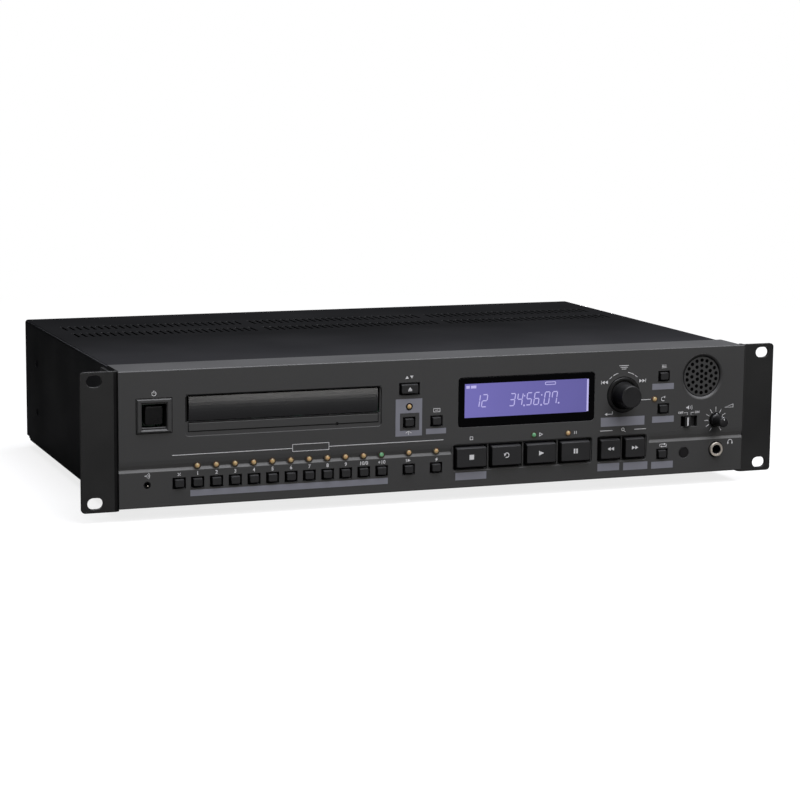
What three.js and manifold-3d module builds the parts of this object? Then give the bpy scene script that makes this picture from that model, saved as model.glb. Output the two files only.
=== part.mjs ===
// Rack-mount disc player, two units high, with a front-loading tray.
// Millimetres. X runs to the right as seen from the front, Y to the rear and Z up.
// The unit is drawn with X = 0 on its centre line, Y = 0 on the front face of the rack ears and
// Z = 0 at their mid-height. At the end the whole group is lifted onto its feet and centred in depth.
import * as THREE from 'three';
import { mergeVertices } from 'three/addons/utils/BufferGeometryUtils.js';
import Module from 'manifold-3d';

const wasm = await Module();
wasm.setup();

// Fits and cuts
const fit = 0.3;
const overrun = 1;

// Gaps between the groups of the front, from the left edge of the body to the right one
const powerMargin = 10.4;
const slotGap = 8.75;
const keyBlockGap = 19.05;
const keyBlockPitch = 19;
const displayGap = 15.4;
const jogGap = 21.7;
const columnGap = 30;
const speakerGap = 29.1;
const speakerMargin = 30.7;

// Rack ears
const earReach = 24.4;
const rackHeight = 88;
const earThickness = 2;
const earBendRadius = 3;
const earFlangeDepth = 40;
const earFlangeDrop = 2;
const earCornerRadius = 2.4;
const rackSlotInsetX = 8.75;
const rackSlotInsetZ = 5.9;
const rackSlotLength = 10;
const rackSlotHeight = 7.2;

// Top cover
const coverSheet = 1;
const coverBendRadius = 2;
const coverTopDrop = 0.9;
const coverNotchLength = 11;
const coverNotchHeight = 2.3;
const ventSlotWidth = 2;
const ventSlotLength = 20;
const ventPitch = 5.09;
const ventSlotsPerGroup = 26;
const ventGroupPitch = 138;
const ventGroupsEachSide = 1;
const ventRowsFromRear = { front: 99, rear: 61 };

// Base pan, feet and rear panel
const panSheet = 1.2;
const panFront = 8;
const panFlangeHeight = 10;
const footHeight = 6.5;
const footTopRadius = 12;
const footBottomRadius = 10.5;
const footRecessRadius = 5;
const footRecessDepth = 3;
const footInset = 31;
const frontFootY = 68;
const rearFootFromRear = 34;
const rearSheet = 1.2;

// Front bezel
const bezelProud = 1.6;
const bezelPlate = 3;
const bezelWall = 2;
const bezelDepth = 30;
const bezelBottomDepth = 8;
const bezelLipReach = 1;
const bezelLipDepth = 2;
const bezelTopDrop = 0.3;
const bezelCrease = 0.4;
const grooveTopZ = -13;
const grooveDeepZ = -18.2;
const grooveBottomZ = -20;
const grooveDepth = 1.2;
const grooveBreakLeft = 3.5;
const grooveBreakRight = 147;

// Front board behind the bezel
const boardGap = 8.6;
const boardSheet = 1.6;
const boardMargin = 4.9;
const boardTopGap = 4.2;
const boardBottomGap = 2;
const boardBossRadius = 3;
const keySwitchSize = 6;
const keySwitchHeight = 4.3;
const boardArmInset = 1.9;
const boardShelfZ = -3.5;
const boardMiddleLead = 10;
const boardMiddleTail = 7.9;
const boardRightShelfZ = 1.5;

// Keys: small ones on the number row, the two blocks and the right-hand column
const keyTravel = 0.5;
const keyClearance = 0.9;
const keyCorner = 0.8;
const keyTaper = 0.5;
const keyFlangeRim = 0.9;
const keyFlangeThickness = 1.2;
const keyStem = 3;
const smallKeyWidth = 7.4;
const smallKeyHeight = 6;
const smallKeyProud = 2.2;
const wideKeyWidth = 13;
const wideKeyHeight = 7;
const digitRowZ = -28.05;
const digitInset = 6.55;
const digitSpanInset = 5;
const digitCount = 11;
const clearKeyStep = 11.9;
const shiftRowZ = 2.7;
const openKeyZ = 24.6;
const menuKeyZ = 25;
const jogKeyZ = 2.9;

// Transport keys
const bigKeyHeight = 14.6;
const bigKeyProud = 3;
const bigKeyGap = 2.6;
const bigKeyCount = 4;
const stationOverhang = 2.3;
const bigRowZ = -22.5;
const searchKeyWidth = 15.7;
const searchKeyPitch = 18.1;
const searchShift = 0.35;
const pocketDepth = 0.8;
const pocketMargin = 1.6;
const pocketCorner = 2.2;

// Indicator lamps
const lampRadius = 1.5;
const lampProud = 0.6;
const lampClearance = 0.35;
const lampRowZ = -17.05;
const shiftLampZ = 13;
const stationLampStep = 5;
const playLampZ = -10.15;
const jogLampStep = 6.6;
const jogLampZ = 9.7;

// Display
const displayZ = 13.8;
const displayWidth = 97.2;
const displayHeight = 32.3;
const displayCorner = 2.2;
const displayRim = 2;
const displayRimThickness = 1.2;
const lcdHeight = 31;
const lcdWidth = 96;
const lcdGlassWidth = 88.6;
const lcdGlassHeight = 22.4;
const lcdGlassRise = 1;
const lcdGlassStep = 0.8;

// Jog dial and its encoder
const jogZ = 13.8;
const jogPocketRadius = 11.6;
const jogPocketDepth = 1.6;
const jogRadius = 8.6;
const jogFrontRadius = 7.9;
const jogFillet = 0.9;
const jogProud = 12.6;
const jogBore = 12;
const jogSkirtGap = 1.1;
const jogPush = 0.6;
const encoderShaftRadius = 3;
const encoderBodySize = 14;
const encoderBodyDepth = 5.5;

// Level knob
const levelStep = 11.1;
const levelZ = -6.8;
const levelHoleRadius = 5;
const levelBaseRadius = 4.3;
const levelFrontRadius = 3.4;
const levelProud = 12;
const levelShaftRadius = 1.5;
const levelBodySize = 10;

// Speaker and its switch
const speakerDrop = 20.3;
const grilleRadius = 14.7;
const grilleChamfer = 1.2;
const grilleDepth = 1.2;
const grilleHoleRadius = 1.2;
const grilleRingPitch = 3.7;
const grilleRings = 3;
const speakerRadius = 17;
const speakerRimThickness = 1.5;
const speakerDepth = 13;
const speakerMagnetRadius = 9;
const speakerMagnetDepth = 5;
const switchStep = 9.35;
const switchZ = -6.75;
const switchWidth = 12.3;
const switchHeight = 7.3;
const switchHandle = 4.4;
const switchTravel = 3;
const switchProud = 1.6;
const switchPlateRim = 1.5;
const switchPlate = 1;
const switchBodyHeight = 4;

// Phones jack, remote jack and infrared window
const phonesStep = 0.6;
const lowRowZ = -27;
const phonesHoleRadius = 5.5;
const phonesBushRadius = 4.6;
const phonesBore = 6.35;
const phonesProud = 1.4;
const phonesBodySize = 13;
const remoteStep = 4.7;
const remoteHoleRadius = 2.2;
const remoteBodySize = 6;
const remoteBore = 2.6;
const irStep = 12.6;
const irRadius = 3.5;
const irRim = 0.9;
const irThickness = 1.5;

// Power button
const powerZ = 15.3;
const powerFrameWidth = 22.4;
const powerFrameHeight = 21.4;
const powerFrameDepth = 4;
const powerFrameRim = 0.4;
const powerFrameWall = 3.2;
const powerBevel = 1.5;
const powerButtonGapX = 2.4;
const powerButtonGapZ = 1.8;
const powerButtonSunk = 0.8;
const powerTravel = 3.5;
const powerPlunger = 6;
const powerBodyDepth = 22;

// Tray, its door and the slot in the bezel
const doorClearance = 1.15;
const slotTopGap = 0.6;
const slotBottomGap = 0.5;
const slotRecessMargin = 1.2;
const slotRecessBottomZ = 1.2;
const slotRecessTop = 0.5;
const sillBottomZ = 4.4;
const sillLedge = 0.6;
const pinholeStep = 35.1;
const pinholeZ = 3.9;
const pinholeRadius = 0.8;
const doorOverlap = 0.5;
const doorTopZ = 26.1;
const doorBottomZ = 10.8;
const doorThickness = 3;
const doorSunk = 0.5;
const doorBulge = 0.7;
const trayEdge = 1.45;
const trayTail = 54.5;
const trayRimDrop = 1.1;
const trayDepth = 6.5;
const discSeatRadius = 60.75;
const discSeatDepth = 4.5;
const smallSeatRadius = 40.5;
const smallSeatDepth = 0.9;
const discFrontMargin = 8;
const spindleSlotWidth = 40;
const spindleSlotLead = 24;

// Rack under the tray and its gear
const gearModule = 1;
const gearTeeth = 16;
const gearY = 32;
const gearFace = 3.6;
const gearBore = 1.8;
const gearShaft = 1.5;
const rackEdgeInset = 9;
const rackBack = 3;
const rackDrop = 4.6;
const toothShare = 0.42;
const toothTipShare = 0.22;
const addendumShare = 0.8;
const dedendumShare = 1.15;

// Loader frame around the tray
const frameWall = 2.5;
const frameFront = 14;
const frameTail = 16.1;
const ledgeWidth = 3;
const ledgeThickness = 2;
const lipThickness = 1.5;
const frameFloorDrop = 23;
const frameFloor = 2;
const frameOpeningHalf = 42;
const frameOpeningLead = 6;
const frameOpeningTail = 11;
const bridgeWidth = 26;
const bridgeSheet = 1.5;
const bridgeRise = 4;
const clampRadius = 14;
const clampNeckRadius = 11;
const clampLift = 1.2;
const clampFoot = 2.4;
const clampHead = 1.6;

// Traverse deck, turntable and pickup sled
const deckWidth = 66;
const deckLead = 22.65;
const deckPivotInset = 15;
const deckSheet = 3;
const deckDrop = 7;
const deckPinRadius = 2;
const deckPinReach = 5;
const deckLugWidth = 4;
const motorRadius = 12;
const motorHeight = 8;
const turntableRadius = 15;
const turntableFlange = 2.2;
const hubRadius = 7.3;
const hubHeight = 1.8;
const spindleRadius = 3.5;
const discLift = 4;
const sledLength = 22;
const sledWidth = 46;
const sledHeight = 5;
const sledTravel = 34;
const sledStartFromSpindle = 24;
const lensTowerWidth = 18;
const lensTowerLength = 12;
const lensTowerHeight = 9.2;
const lensRadius = 3;
const lensHeight = 0.8;
const railRadius = 1.5;
const railSpacing = 36;
const railSupport = 4;

// Boards and sockets at the rear
const standoffHeight = 12.3;
const rearBoardSheet = 1.6;
const rearBoardTail = 15;
const rearBoardInset = 10.6;
const rearBoardDepth = 92;
const standoffRadius = 3.5;
const standoffInset = 6;
const xlrShell = 24;
const xlrBore = 9;
const xlrDepth = 15;
const xlrProud = 1.5;
const xlrBody = 26;
const xlrRise = 17;
const analogPitch = 34;
const analogInset = 21;
const digitalPitch = 34;
const socketClearance = 0.4;
const rcaRadius = 4.1;
const rcaProud = 10;
const rcaPinBore = 1.7;
const rcaBody = 13;
const rcaDepth = 12;
const rcaPairPitch = 32;
const rcaRise = 10.5;
const rcaSpread = 15;
const coaxPitch = 28;
const dsubHeight = 8.4;
const dsubFlangeHeight = 12.5;
const dsubProud = 5.6;
const dsubDepth = 11;
const dsubSlope = 1.4;
const dsubWidePitch = 36;
const dsubWideWidth = 25;
const dsubNarrowPitch = 35;
const dsubNarrowWidth = 17;
const dsubFlangeRim = 3.5;
const supplyInset = 65.6;
const supplyWidth = 98;
const supplyDepth = 70;
const supplyGap = 2.6;
const coreSize = 44;
const coreHeight = 32;
const capRadius = 9;
const capHeight = 30;
const sinkWidth = 30;
const sinkHeight = 24;
const sinkFin = 1.6;
const sinkFins = 5;
const inletInset = 37.6;
const inletRise = 22.5;
const inletWidth = 27;
const inletHeight = 19.5;
const inletFlangeWidth = 50;
const inletFlangeHeight = 23;
const inletFlange = 3;
const inletBody = 18;
const inletSocketWidth = 24;
const inletSocketHeight = 16.4;
const inletSocketDepth = 16;
const inletCorner = 4;

// Smoothness of round forms
const sixSided = 6;
const coarse = 8;
const medium = 16;
const fine = 28;
const cornerSteps = 2;

// Planes and edges that several pieces share

const half = (size) => size / 2;

// Tray and its slot
const trayWidth = 2 * (discSeatRadius + trayEdge);
const trayLength = discFrontMargin + 2 * discSeatRadius + trayTail;
const doorWidth = trayWidth + 2 * doorOverlap;
const slotWidth = doorWidth + 2 * doorClearance;
const slotRecessWidth = slotWidth + 2 * slotRecessMargin;
const slotTopZ = doorTopZ + slotTopGap;
const slotBottomZ = doorBottomZ - slotBottomGap;
const faceY = -bezelProud;
const trayFrontY = faceY + doorSunk + doorThickness;
const spindleY = trayFrontY + discFrontMargin + discSeatRadius;
const trayRimZ = doorTopZ - trayRimDrop;
const trayBottomZ = trayRimZ - trayDepth;
const seatFloorZ = trayRimZ - discSeatDepth;
const discPlaneZ = seatFloorZ + discLift;

// Width of the body, as the sum of what stands side by side on its front
const bodyWidth = powerMargin + powerFrameWidth + slotGap + slotRecessWidth + keyBlockGap + keyBlockPitch
  + displayGap + displayWidth + jogGap + columnGap + speakerGap + speakerMargin;
const bodyHalf = half(bodyWidth);

// Places across the front
const powerX = powerMargin + half(powerFrameWidth) - bodyHalf;
const remoteX = powerX - remoteStep;
const trayX = powerX + half(powerFrameWidth) + slotGap + half(slotRecessWidth);
const pinholeX = trayX + pinholeStep;
const digitPitch = (slotWidth - digitSpanInset) / (digitCount - 1);
const digitFirstX = trayX - half(slotWidth) + digitInset;
const clearKeyX = digitFirstX - clearKeyStep;
const shiftKeyX = trayX + half(slotRecessWidth) + keyBlockGap;
const displayKeyX = shiftKeyX + keyBlockPitch;
const displayX = displayKeyX + displayGap + half(displayWidth);
const bigKeyPitch = (displayWidth + bigKeyGap) / bigKeyCount;
const bigKeyWidth = bigKeyPitch - bigKeyGap;
const bigKeyFirstX = displayX - half(displayWidth) - stationOverhang + half(bigKeyWidth);
const jogX = displayX + half(displayWidth) + jogGap;
const searchFirstX = jogX - searchShift - half(searchKeyPitch);
const columnKeyX = jogX + columnGap;
const jogLampX = columnKeyX - jogLampStep;
const speakerX = columnKeyX + speakerGap;
const switchX = speakerX - switchStep;
const irX = speakerX - irStep;
const levelX = speakerX + levelStep;
const phonesX = levelX + phonesStep;

// Power button in its frame
const powerOpeningWidth = powerFrameWidth - 2 * powerFrameWall;
const powerOpeningHeight = powerFrameHeight - 2 * powerFrameWall;
const powerButtonWidth = powerOpeningWidth - 2 * powerButtonGapX;
const powerButtonHeight = powerOpeningHeight - 2 * powerButtonGapZ;

// Planes of the case
const earBottomZ = -half(rackHeight);
const earTopZ = half(rackHeight);
const coverTopZ = earTopZ - coverTopDrop;
const coverInnerHalf = bodyHalf - coverSheet;
const panHalf = coverInnerHalf - fit;
const panTopZ = earBottomZ + panSheet;
const plateBackY = faceY + bezelPlate;
const bezelTopZ = earTopZ - bezelTopDrop;
const bezelBottomZ = panTopZ + fit;
const speakerZ = bezelTopZ - speakerDrop;

// Front board and the keys on it
const boardY = plateBackY + boardGap;
const boardTopZ = bezelTopZ - bezelWall - boardTopGap;
const boardBottomZ = bezelBottomZ + bezelWall + boardBottomGap;
const flangeY = plateBackY + fit;
const keySwitchY = boardY - keySwitchHeight;
const keyEndY = keySwitchY - keyTravel - fit;

// Loader
const frameInnerHalf = half(trayWidth) + fit;
const frameOuterHalf = frameInnerHalf + frameWall;
const frameTopZ = trayRimZ + fit + lipThickness;
const frameFloorZ = trayBottomZ - frameFloorDrop;
const frameRear = trayFrontY + trayLength + frameTail;
const clampFootZ = discPlaneZ + clampLift;
const deckTopZ = trayBottomZ - deckDrop;
const deckFrontY = spindleY - deckLead;
const deckPivotY = frameRear - deckPivotInset;

// Depth of the body, as the sum of what stands one behind the other in it
const bodyDepth = frameRear + supplyGap + supplyDepth + standoffInset + fit + rearSheet;
const rearPanelY = bodyDepth - rearSheet - fit;

// Places across the rear
const rearBoardZ = panTopZ + standoffHeight;
const rearBoardRight = panHalf - rearBoardInset;
const analogLeftX = rearBoardRight - analogInset;
const analogRightX = analogLeftX - analogPitch;
const rcaPairX = analogRightX - rcaPairPitch;
const digitalXlrX = rcaPairX - digitalPitch;
const coaxX = digitalXlrX - coaxPitch;
const dsubWideX = coaxX - dsubWidePitch;
const dsubNarrowX = dsubWideX - dsubNarrowPitch;
const rearBoardLeft = dsubNarrowX - rearBoardTail;
const xlrZ = rearBoardZ + xlrRise;
const rcaLowZ = rearBoardZ + rcaRise;
const rcaHighZ = rcaLowZ + rcaSpread;
const supplyLeft = supplyInset - panHalf;
const supplyRight = supplyLeft + supplyWidth;
const inletX = inletInset - panHalf;
const inletZ = rearBoardZ + inletRise;

// Solids from closed meshes

function solid(geometry) {
  geometry.deleteAttribute('normal');
  geometry.deleteAttribute('uv');
  const merged = mergeVertices(geometry);
  const places = merged.getAttribute('position').array;
  const corners = merged.getIndex().array;
  const faces = [];
  let volume = 0;
  for (let i = 0; i < corners.length; i += 3) {
    const [a, b, c] = [corners[i], corners[i + 1], corners[i + 2]];
    if (a !== b && b !== c && c !== a) {
      faces.push(a, b, c);
      const [p, q, r] = [a, b, c].map((k) => new THREE.Vector3().fromArray(places, 3 * k));
      volume += p.dot(q.cross(r));
    }
  }
  if (volume < 0) {
    faces.reverse();
  }
  const mesh = { numProp: 3, vertProperties: new Float32Array(places), triVerts: new Uint32Array(faces) };
  return new wasm.Manifold(new wasm.Mesh(mesh));
}

function join(...parts) {
  return parts.flat(Infinity).reduce((whole, part) => whole.add(part));
}

function cut(body, ...tools) {
  return tools.flat(Infinity).reduce((rest, tool) => rest.subtract(tool), body);
}

function box(x0, x1, y0, y1, z0, z1) {
  const geometry = new THREE.BoxGeometry(x1 - x0, y1 - y0, z1 - z0);
  return solid(geometry.translate(half(x0 + x1), half(y0 + y1), half(z0 + z1)));
}

function extruded(shape, depth) {
  return new THREE.ExtrudeGeometry(shape, { depth, bevelEnabled: false, curveSegments: cornerSteps });
}

// An outline in X and Z, carried along Y from y0 to y1
function plate(shape, y0, y1) {
  return solid(extruded(shape, y1 - y0).rotateX(half(Math.PI)).translate(0, y1, 0));
}

// An outline in X and Y, carried up Z from z0 to z1
function slab(shape, z0, z1) {
  return solid(extruded(shape, z1 - z0).translate(0, 0, z0));
}

// An outline in Y and Z, carried along X from x0 to x1
function beam(shape, x0, x1) {
  const turned = extruded(shape, x1 - x0).rotateX(half(Math.PI)).rotateZ(half(Math.PI));
  return solid(turned.translate(x0, 0, 0));
}

function polygon(points) {
  return new THREE.Shape(points.map(([x, y]) => new THREE.Vector2(x, y)));
}

function rectangle(x, y, width, height) {
  const [w, h] = [half(width), half(height)];
  return polygon([[x - w, y - h], [x + w, y - h], [x + w, y + h], [x - w, y + h]]);
}

function rounded(x, y, width, height, radius) {
  const [l, r, b, t] = [x - half(width), x + half(width), y - half(height), y + half(height)];
  const shape = new THREE.Shape();
  shape.moveTo(l + radius, b);
  shape.lineTo(r - radius, b);
  shape.absarc(r - radius, b + radius, radius, -half(Math.PI), 0);
  shape.lineTo(r, t - radius);
  shape.absarc(r - radius, t - radius, radius, 0, half(Math.PI));
  shape.lineTo(l + radius, t);
  shape.absarc(l + radius, t - radius, radius, half(Math.PI), Math.PI);
  shape.lineTo(l, b + radius);
  shape.absarc(l + radius, b + radius, radius, Math.PI, half(3 * Math.PI));
  return shape;
}

// A profile of radius and height, revolved about an upright axis at x, y
function turnedUp(profile, x, y, sides) {
  const points = profile.map(([r, z]) => new THREE.Vector2(r, z));
  return solid(new THREE.LatheGeometry(points, sides).rotateX(half(Math.PI)).translate(x, y, 0));
}

// A profile of radius and depth, revolved about an axis along Y at x, z
function turnedBack(profile, x, z, sides) {
  const points = profile.map(([r, y]) => new THREE.Vector2(r, y));
  return solid(new THREE.LatheGeometry(points, sides).translate(x, 0, z));
}

function rodBack(radius, x, z, y0, y1, sides) {
  return turnedBack([[0, y0], [radius, y0], [radius, y1], [0, y1]], x, z, sides);
}

function rodUp(radius, x, y, z0, z1, sides) {
  return turnedUp([[0, z0], [radius, z0], [radius, z1], [0, z1]], x, y, sides);
}

function rodAcross(radius, y, z, x0, x1, sides) {
  const geometry = new THREE.CylinderGeometry(radius, radius, x1 - x0, sides);
  return solid(geometry.rotateZ(half(Math.PI)).translate(half(x0 + x1), y, z));
}

// Finishes and named pieces

const player = new THREE.Group();
player.name = 'disc_player';

const finishes = {
  frontPaint: { color: '#3b3b3d', roughness: 0.55, metalness: 0.1 },
  blackPaint: { color: '#262626', roughness: 0.5, metalness: 0.2 },
  coverPaint: { color: '#232323', roughness: 0.65, metalness: 0.2 },
  steel: { color: '#a9aaac', roughness: 0.4, metalness: 0.9 },
  keyPlastic: { color: '#2a2a2b', roughness: 0.55, metalness: 0 },
  glossPlastic: { color: '#1b1b1c', roughness: 0.2, metalness: 0 },
  blackPlastic: { color: '#151515', roughness: 0.6, metalness: 0 },
  rubber: { color: '#181818', roughness: 0.9, metalness: 0 },
  lcd: { color: '#625cb4', roughness: 0.3, metalness: 0 },
  chrome: { color: '#b9b6b0', roughness: 0.2, metalness: 1 },
  board: { color: '#2f5a3a', roughness: 0.6, metalness: 0 },
  trayPlastic: { color: '#202022', roughness: 0.5, metalness: 0 },
  gearPlastic: { color: '#d8d5c8', roughness: 0.5, metalness: 0 },
};

function piece(name, body, finish) {
  const { vertProperties, triVerts } = body.getMesh();
  const geometry = new THREE.BufferGeometry();
  geometry.setAttribute('position', new THREE.BufferAttribute(new Float32Array(vertProperties), 3));
  geometry.setIndex(new THREE.BufferAttribute(new Uint32Array(triVerts), 1));
  geometry.computeVertexNormals();
  const mesh = new THREE.Mesh(geometry, new THREE.MeshStandardMaterial(finishes[finish]));
  mesh.name = name;
  player.add(mesh);
}

// The keys of the front, one entry each: name, place, size and how far the face stands out

function digitX(index) {
  return digitFirstX + index * digitPitch;
}

function stationX(index) {
  return bigKeyFirstX + index * bigKeyPitch;
}

function smallKey(name, x, z) {
  return {
    name, x, z, width: smallKeyWidth, height: smallKeyHeight, proud: smallKeyProud, rim: keyFlangeRim,
  };
}

function bigKey(name, x, width) {
  return {
    name, x, z: bigRowZ, width, height: bigKeyHeight, proud: bigKeyProud, rim: half(keyFlangeRim),
  };
}

function listKeys() {
  const digitNames = ['1', '2', '3', '4', '5', '6', '7', '8', '9', '10_0', 'plus_10'];
  const keys = digitNames.slice(0, digitCount).map((n, i) => smallKey(
    `number_key_${n}`, digitX(i), digitRowZ,
  ));
  const stations = ['stop_key', 'call_key', 'play_key', 'pause_key'];
  const searches = ['search_back_key', 'search_forward_key'];
  return [
    smallKey('clear_key', clearKeyX, digitRowZ),
    ...keys,
    smallKey('cue_key', shiftKeyX, digitRowZ),
    smallKey('flash_key', displayKeyX, digitRowZ),
    smallKey('shift_key', shiftKeyX, shiftRowZ),
    smallKey('display_key', displayKeyX, shiftRowZ),
    { ...smallKey('open_close_key', shiftKeyX, openKeyZ), width: wideKeyWidth, height: wideKeyHeight },
    smallKey('menu_key', columnKeyX, menuKeyZ),
    smallKey('jog_mode_key', columnKeyX, jogKeyZ),
    smallKey('play_mode_key', columnKeyX, digitRowZ),
    ...stations.map((name, i) => bigKey(name, stationX(i), bigKeyWidth)),
    ...searches.map((name, i) => bigKey(name, searchFirstX + i * searchKeyPitch, searchKeyWidth)),
  ];
}

const keys = listKeys();

function keyBody(key) {
  const capShape = rounded(0, 0, key.width - keyTaper, key.height - keyTaper, keyCorner);
  const cap = new THREE.ExtrudeGeometry(capShape, {
    depth: key.proud + bezelPlate + fit - half(keyTaper),
    bevelThickness: half(keyTaper),
    bevelSize: half(keyTaper),
    bevelSegments: 1,
    curveSegments: 1,
  });
  const capSolid = solid(cap.rotateX(half(Math.PI)).translate(key.x, flangeY + overrun, key.z));
  const trimmed = cut(capSolid, box(
    key.x - key.width, key.x + key.width, flangeY + half(keyFlangeThickness), flangeY + bezelPlate + overrun,
    key.z - key.height, key.z + key.height,
  ));
  const flangeWidth = key.width + keyClearance + 2 * key.rim;
  const flangeHeight = key.height + keyClearance + 2 * key.rim;
  const flange = plate(
    rectangle(key.x, key.z, flangeWidth, flangeHeight), flangeY, flangeY + keyFlangeThickness,
  );
  const stem = plate(rectangle(key.x, key.z, keyStem, keyStem), flangeY, keyEndY);
  return join(trimmed, flange, stem);
}

// Indicator lamps: places on the face and how deep the face lies there

function listLamps() {
  const row = Array.from({ length: digitCount }, (_, i) => [digitX(i), lampRowZ]);
  return [
    ...row,
    [shiftKeyX, lampRowZ],
    [displayKeyX, lampRowZ],
    [shiftKeyX, shiftLampZ],
    [stationX(bigKeyCount - 2) - stationLampStep, playLampZ],
    [stationX(bigKeyCount - 1) - stationLampStep, playLampZ],
    [jogLampX, jogLampZ],
  ];
}

const lamps = listLamps();

// Front bezel

function bezelSection() {
  const shape = new THREE.Shape();
  const creaseZ = bezelTopZ - bezelCrease;
  shape.moveTo(faceY, bezelBottomZ + bezelCrease);
  shape.lineTo(faceY, creaseZ);
  shape.absarc(faceY + bezelCrease, creaseZ, bezelCrease, Math.PI, half(Math.PI), true);
  shape.lineTo(bezelDepth, bezelTopZ);
  shape.lineTo(bezelDepth, bezelTopZ - bezelWall);
  shape.lineTo(plateBackY, bezelTopZ - bezelWall);
  shape.lineTo(plateBackY, bezelBottomZ + bezelWall);
  shape.lineTo(bezelBottomDepth, bezelBottomZ + bezelWall);
  shape.lineTo(bezelBottomDepth, bezelBottomZ);
  shape.lineTo(faceY + bezelCrease, bezelBottomZ);
  return shape;
}

function lipSection() {
  const shape = new THREE.Shape();
  const creaseZ = bezelTopZ - bezelCrease;
  shape.moveTo(faceY, bezelBottomZ + bezelCrease);
  shape.lineTo(faceY, creaseZ);
  shape.absarc(faceY + bezelCrease, creaseZ, bezelCrease, Math.PI, half(Math.PI), true);
  shape.lineTo(faceY + bezelLipDepth, bezelTopZ);
  shape.lineTo(faceY + bezelLipDepth, bezelBottomZ);
  shape.lineTo(faceY + bezelCrease, bezelBottomZ);
  return shape;
}

// The face draws in along a soft curve above the groove and comes back out on a slanted ledge
function grooveSection() {
  const shape = new THREE.Shape();
  shape.moveTo(faceY - overrun, grooveTopZ);
  shape.lineTo(faceY, grooveTopZ);
  shape.quadraticCurveTo(faceY, half(grooveTopZ + grooveDeepZ), faceY + grooveDepth, grooveDeepZ);
  shape.lineTo(faceY, grooveBottomZ);
  shape.lineTo(faceY - overrun, grooveBottomZ);
  return shape;
}

function through(shape) {
  return plate(shape, faceY - overrun, plateBackY + overrun);
}

function pocket(shape, depth) {
  return plate(shape, faceY - overrun, faceY + depth);
}

function keyPockets() {
  const height = bigKeyHeight + 2 * pocketMargin;
  const stationSpan = bigKeyCount * bigKeyPitch - bigKeyGap + 2 * pocketMargin;
  const stationMiddle = half(stationX(0) + stationX(bigKeyCount - 1));
  const searchSpan = searchKeyPitch + searchKeyWidth + 2 * pocketMargin;
  const searchX = searchFirstX + half(searchKeyPitch);
  return [
    pocket(rounded(stationMiddle, bigRowZ, stationSpan, height, pocketCorner), pocketDepth),
    pocket(rounded(searchX, bigRowZ, searchSpan, height, pocketCorner), pocketDepth),
  ];
}

function grilleCuts() {
  const floorY = faceY + grilleDepth;
  const rim = grilleRadius + grilleChamfer;
  const dish = turnedBack(
    [[0, faceY - overrun], [rim, faceY - overrun], [rim, faceY], [grilleRadius, floorY], [0, floorY]],
    speakerX, speakerZ, fine,
  );
  const holes = [[0, 0]];
  for (let ring = 1; ring <= grilleRings; ring += 1) {
    const count = 6 * ring;
    for (let i = 0; i < count; i += 1) {
      const angle = (2 * Math.PI * i) / count;
      holes.push([ring * grilleRingPitch * Math.sin(angle), ring * grilleRingPitch * Math.cos(angle)]);
    }
  }
  const bores = holes.map(([x, z]) => rodBack(
    grilleHoleRadius, speakerX + x, speakerZ + z, faceY - overrun, plateBackY + overrun, coarse,
  ));
  return [dish, ...bores];
}

function slotCuts() {
  const recessTopZ = slotTopZ + slotRecessTop;
  const recessHeight = recessTopZ - slotRecessBottomZ;
  const recessZ = half(recessTopZ + slotRecessBottomZ);
  const sillLeft = trayX - half(doorWidth);
  const sillRight = trayX + half(doorWidth);
  const recess = pocket(rounded(trayX, recessZ, slotRecessWidth, recessHeight, pocketCorner), pocketDepth);
  const sill = box(
    sillLeft, sillRight, faceY + sillLedge, faceY + pocketDepth + overrun, sillBottomZ,
    slotBottomZ - overrun,
  );
  const opening = through(rectangle(trayX, half(slotTopZ + slotBottomZ), slotWidth, slotTopZ - slotBottomZ));
  return [cut(recess, sill), opening];
}

function boardBossPlaces() {
  const high = boardTopZ - 2 * boardBossRadius;
  return [
    [remoteX - boardBossRadius, high],
    [half(shiftKeyX + displayKeyX), high + boardBossRadius],
    [jogX - 2 * boardBossRadius, high + boardBossRadius],
    [half(shiftKeyX + displayKeyX), grooveTopZ + boardBossRadius],
    [digitX(0) - half(digitPitch), grooveTopZ + boardBossRadius],
    [digitX(digitCount - 1) - half(digitPitch), grooveTopZ + boardBossRadius],
    [jogLampX + boardBossRadius, half(jogKeyZ + digitRowZ)],
  ];
}

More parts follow.
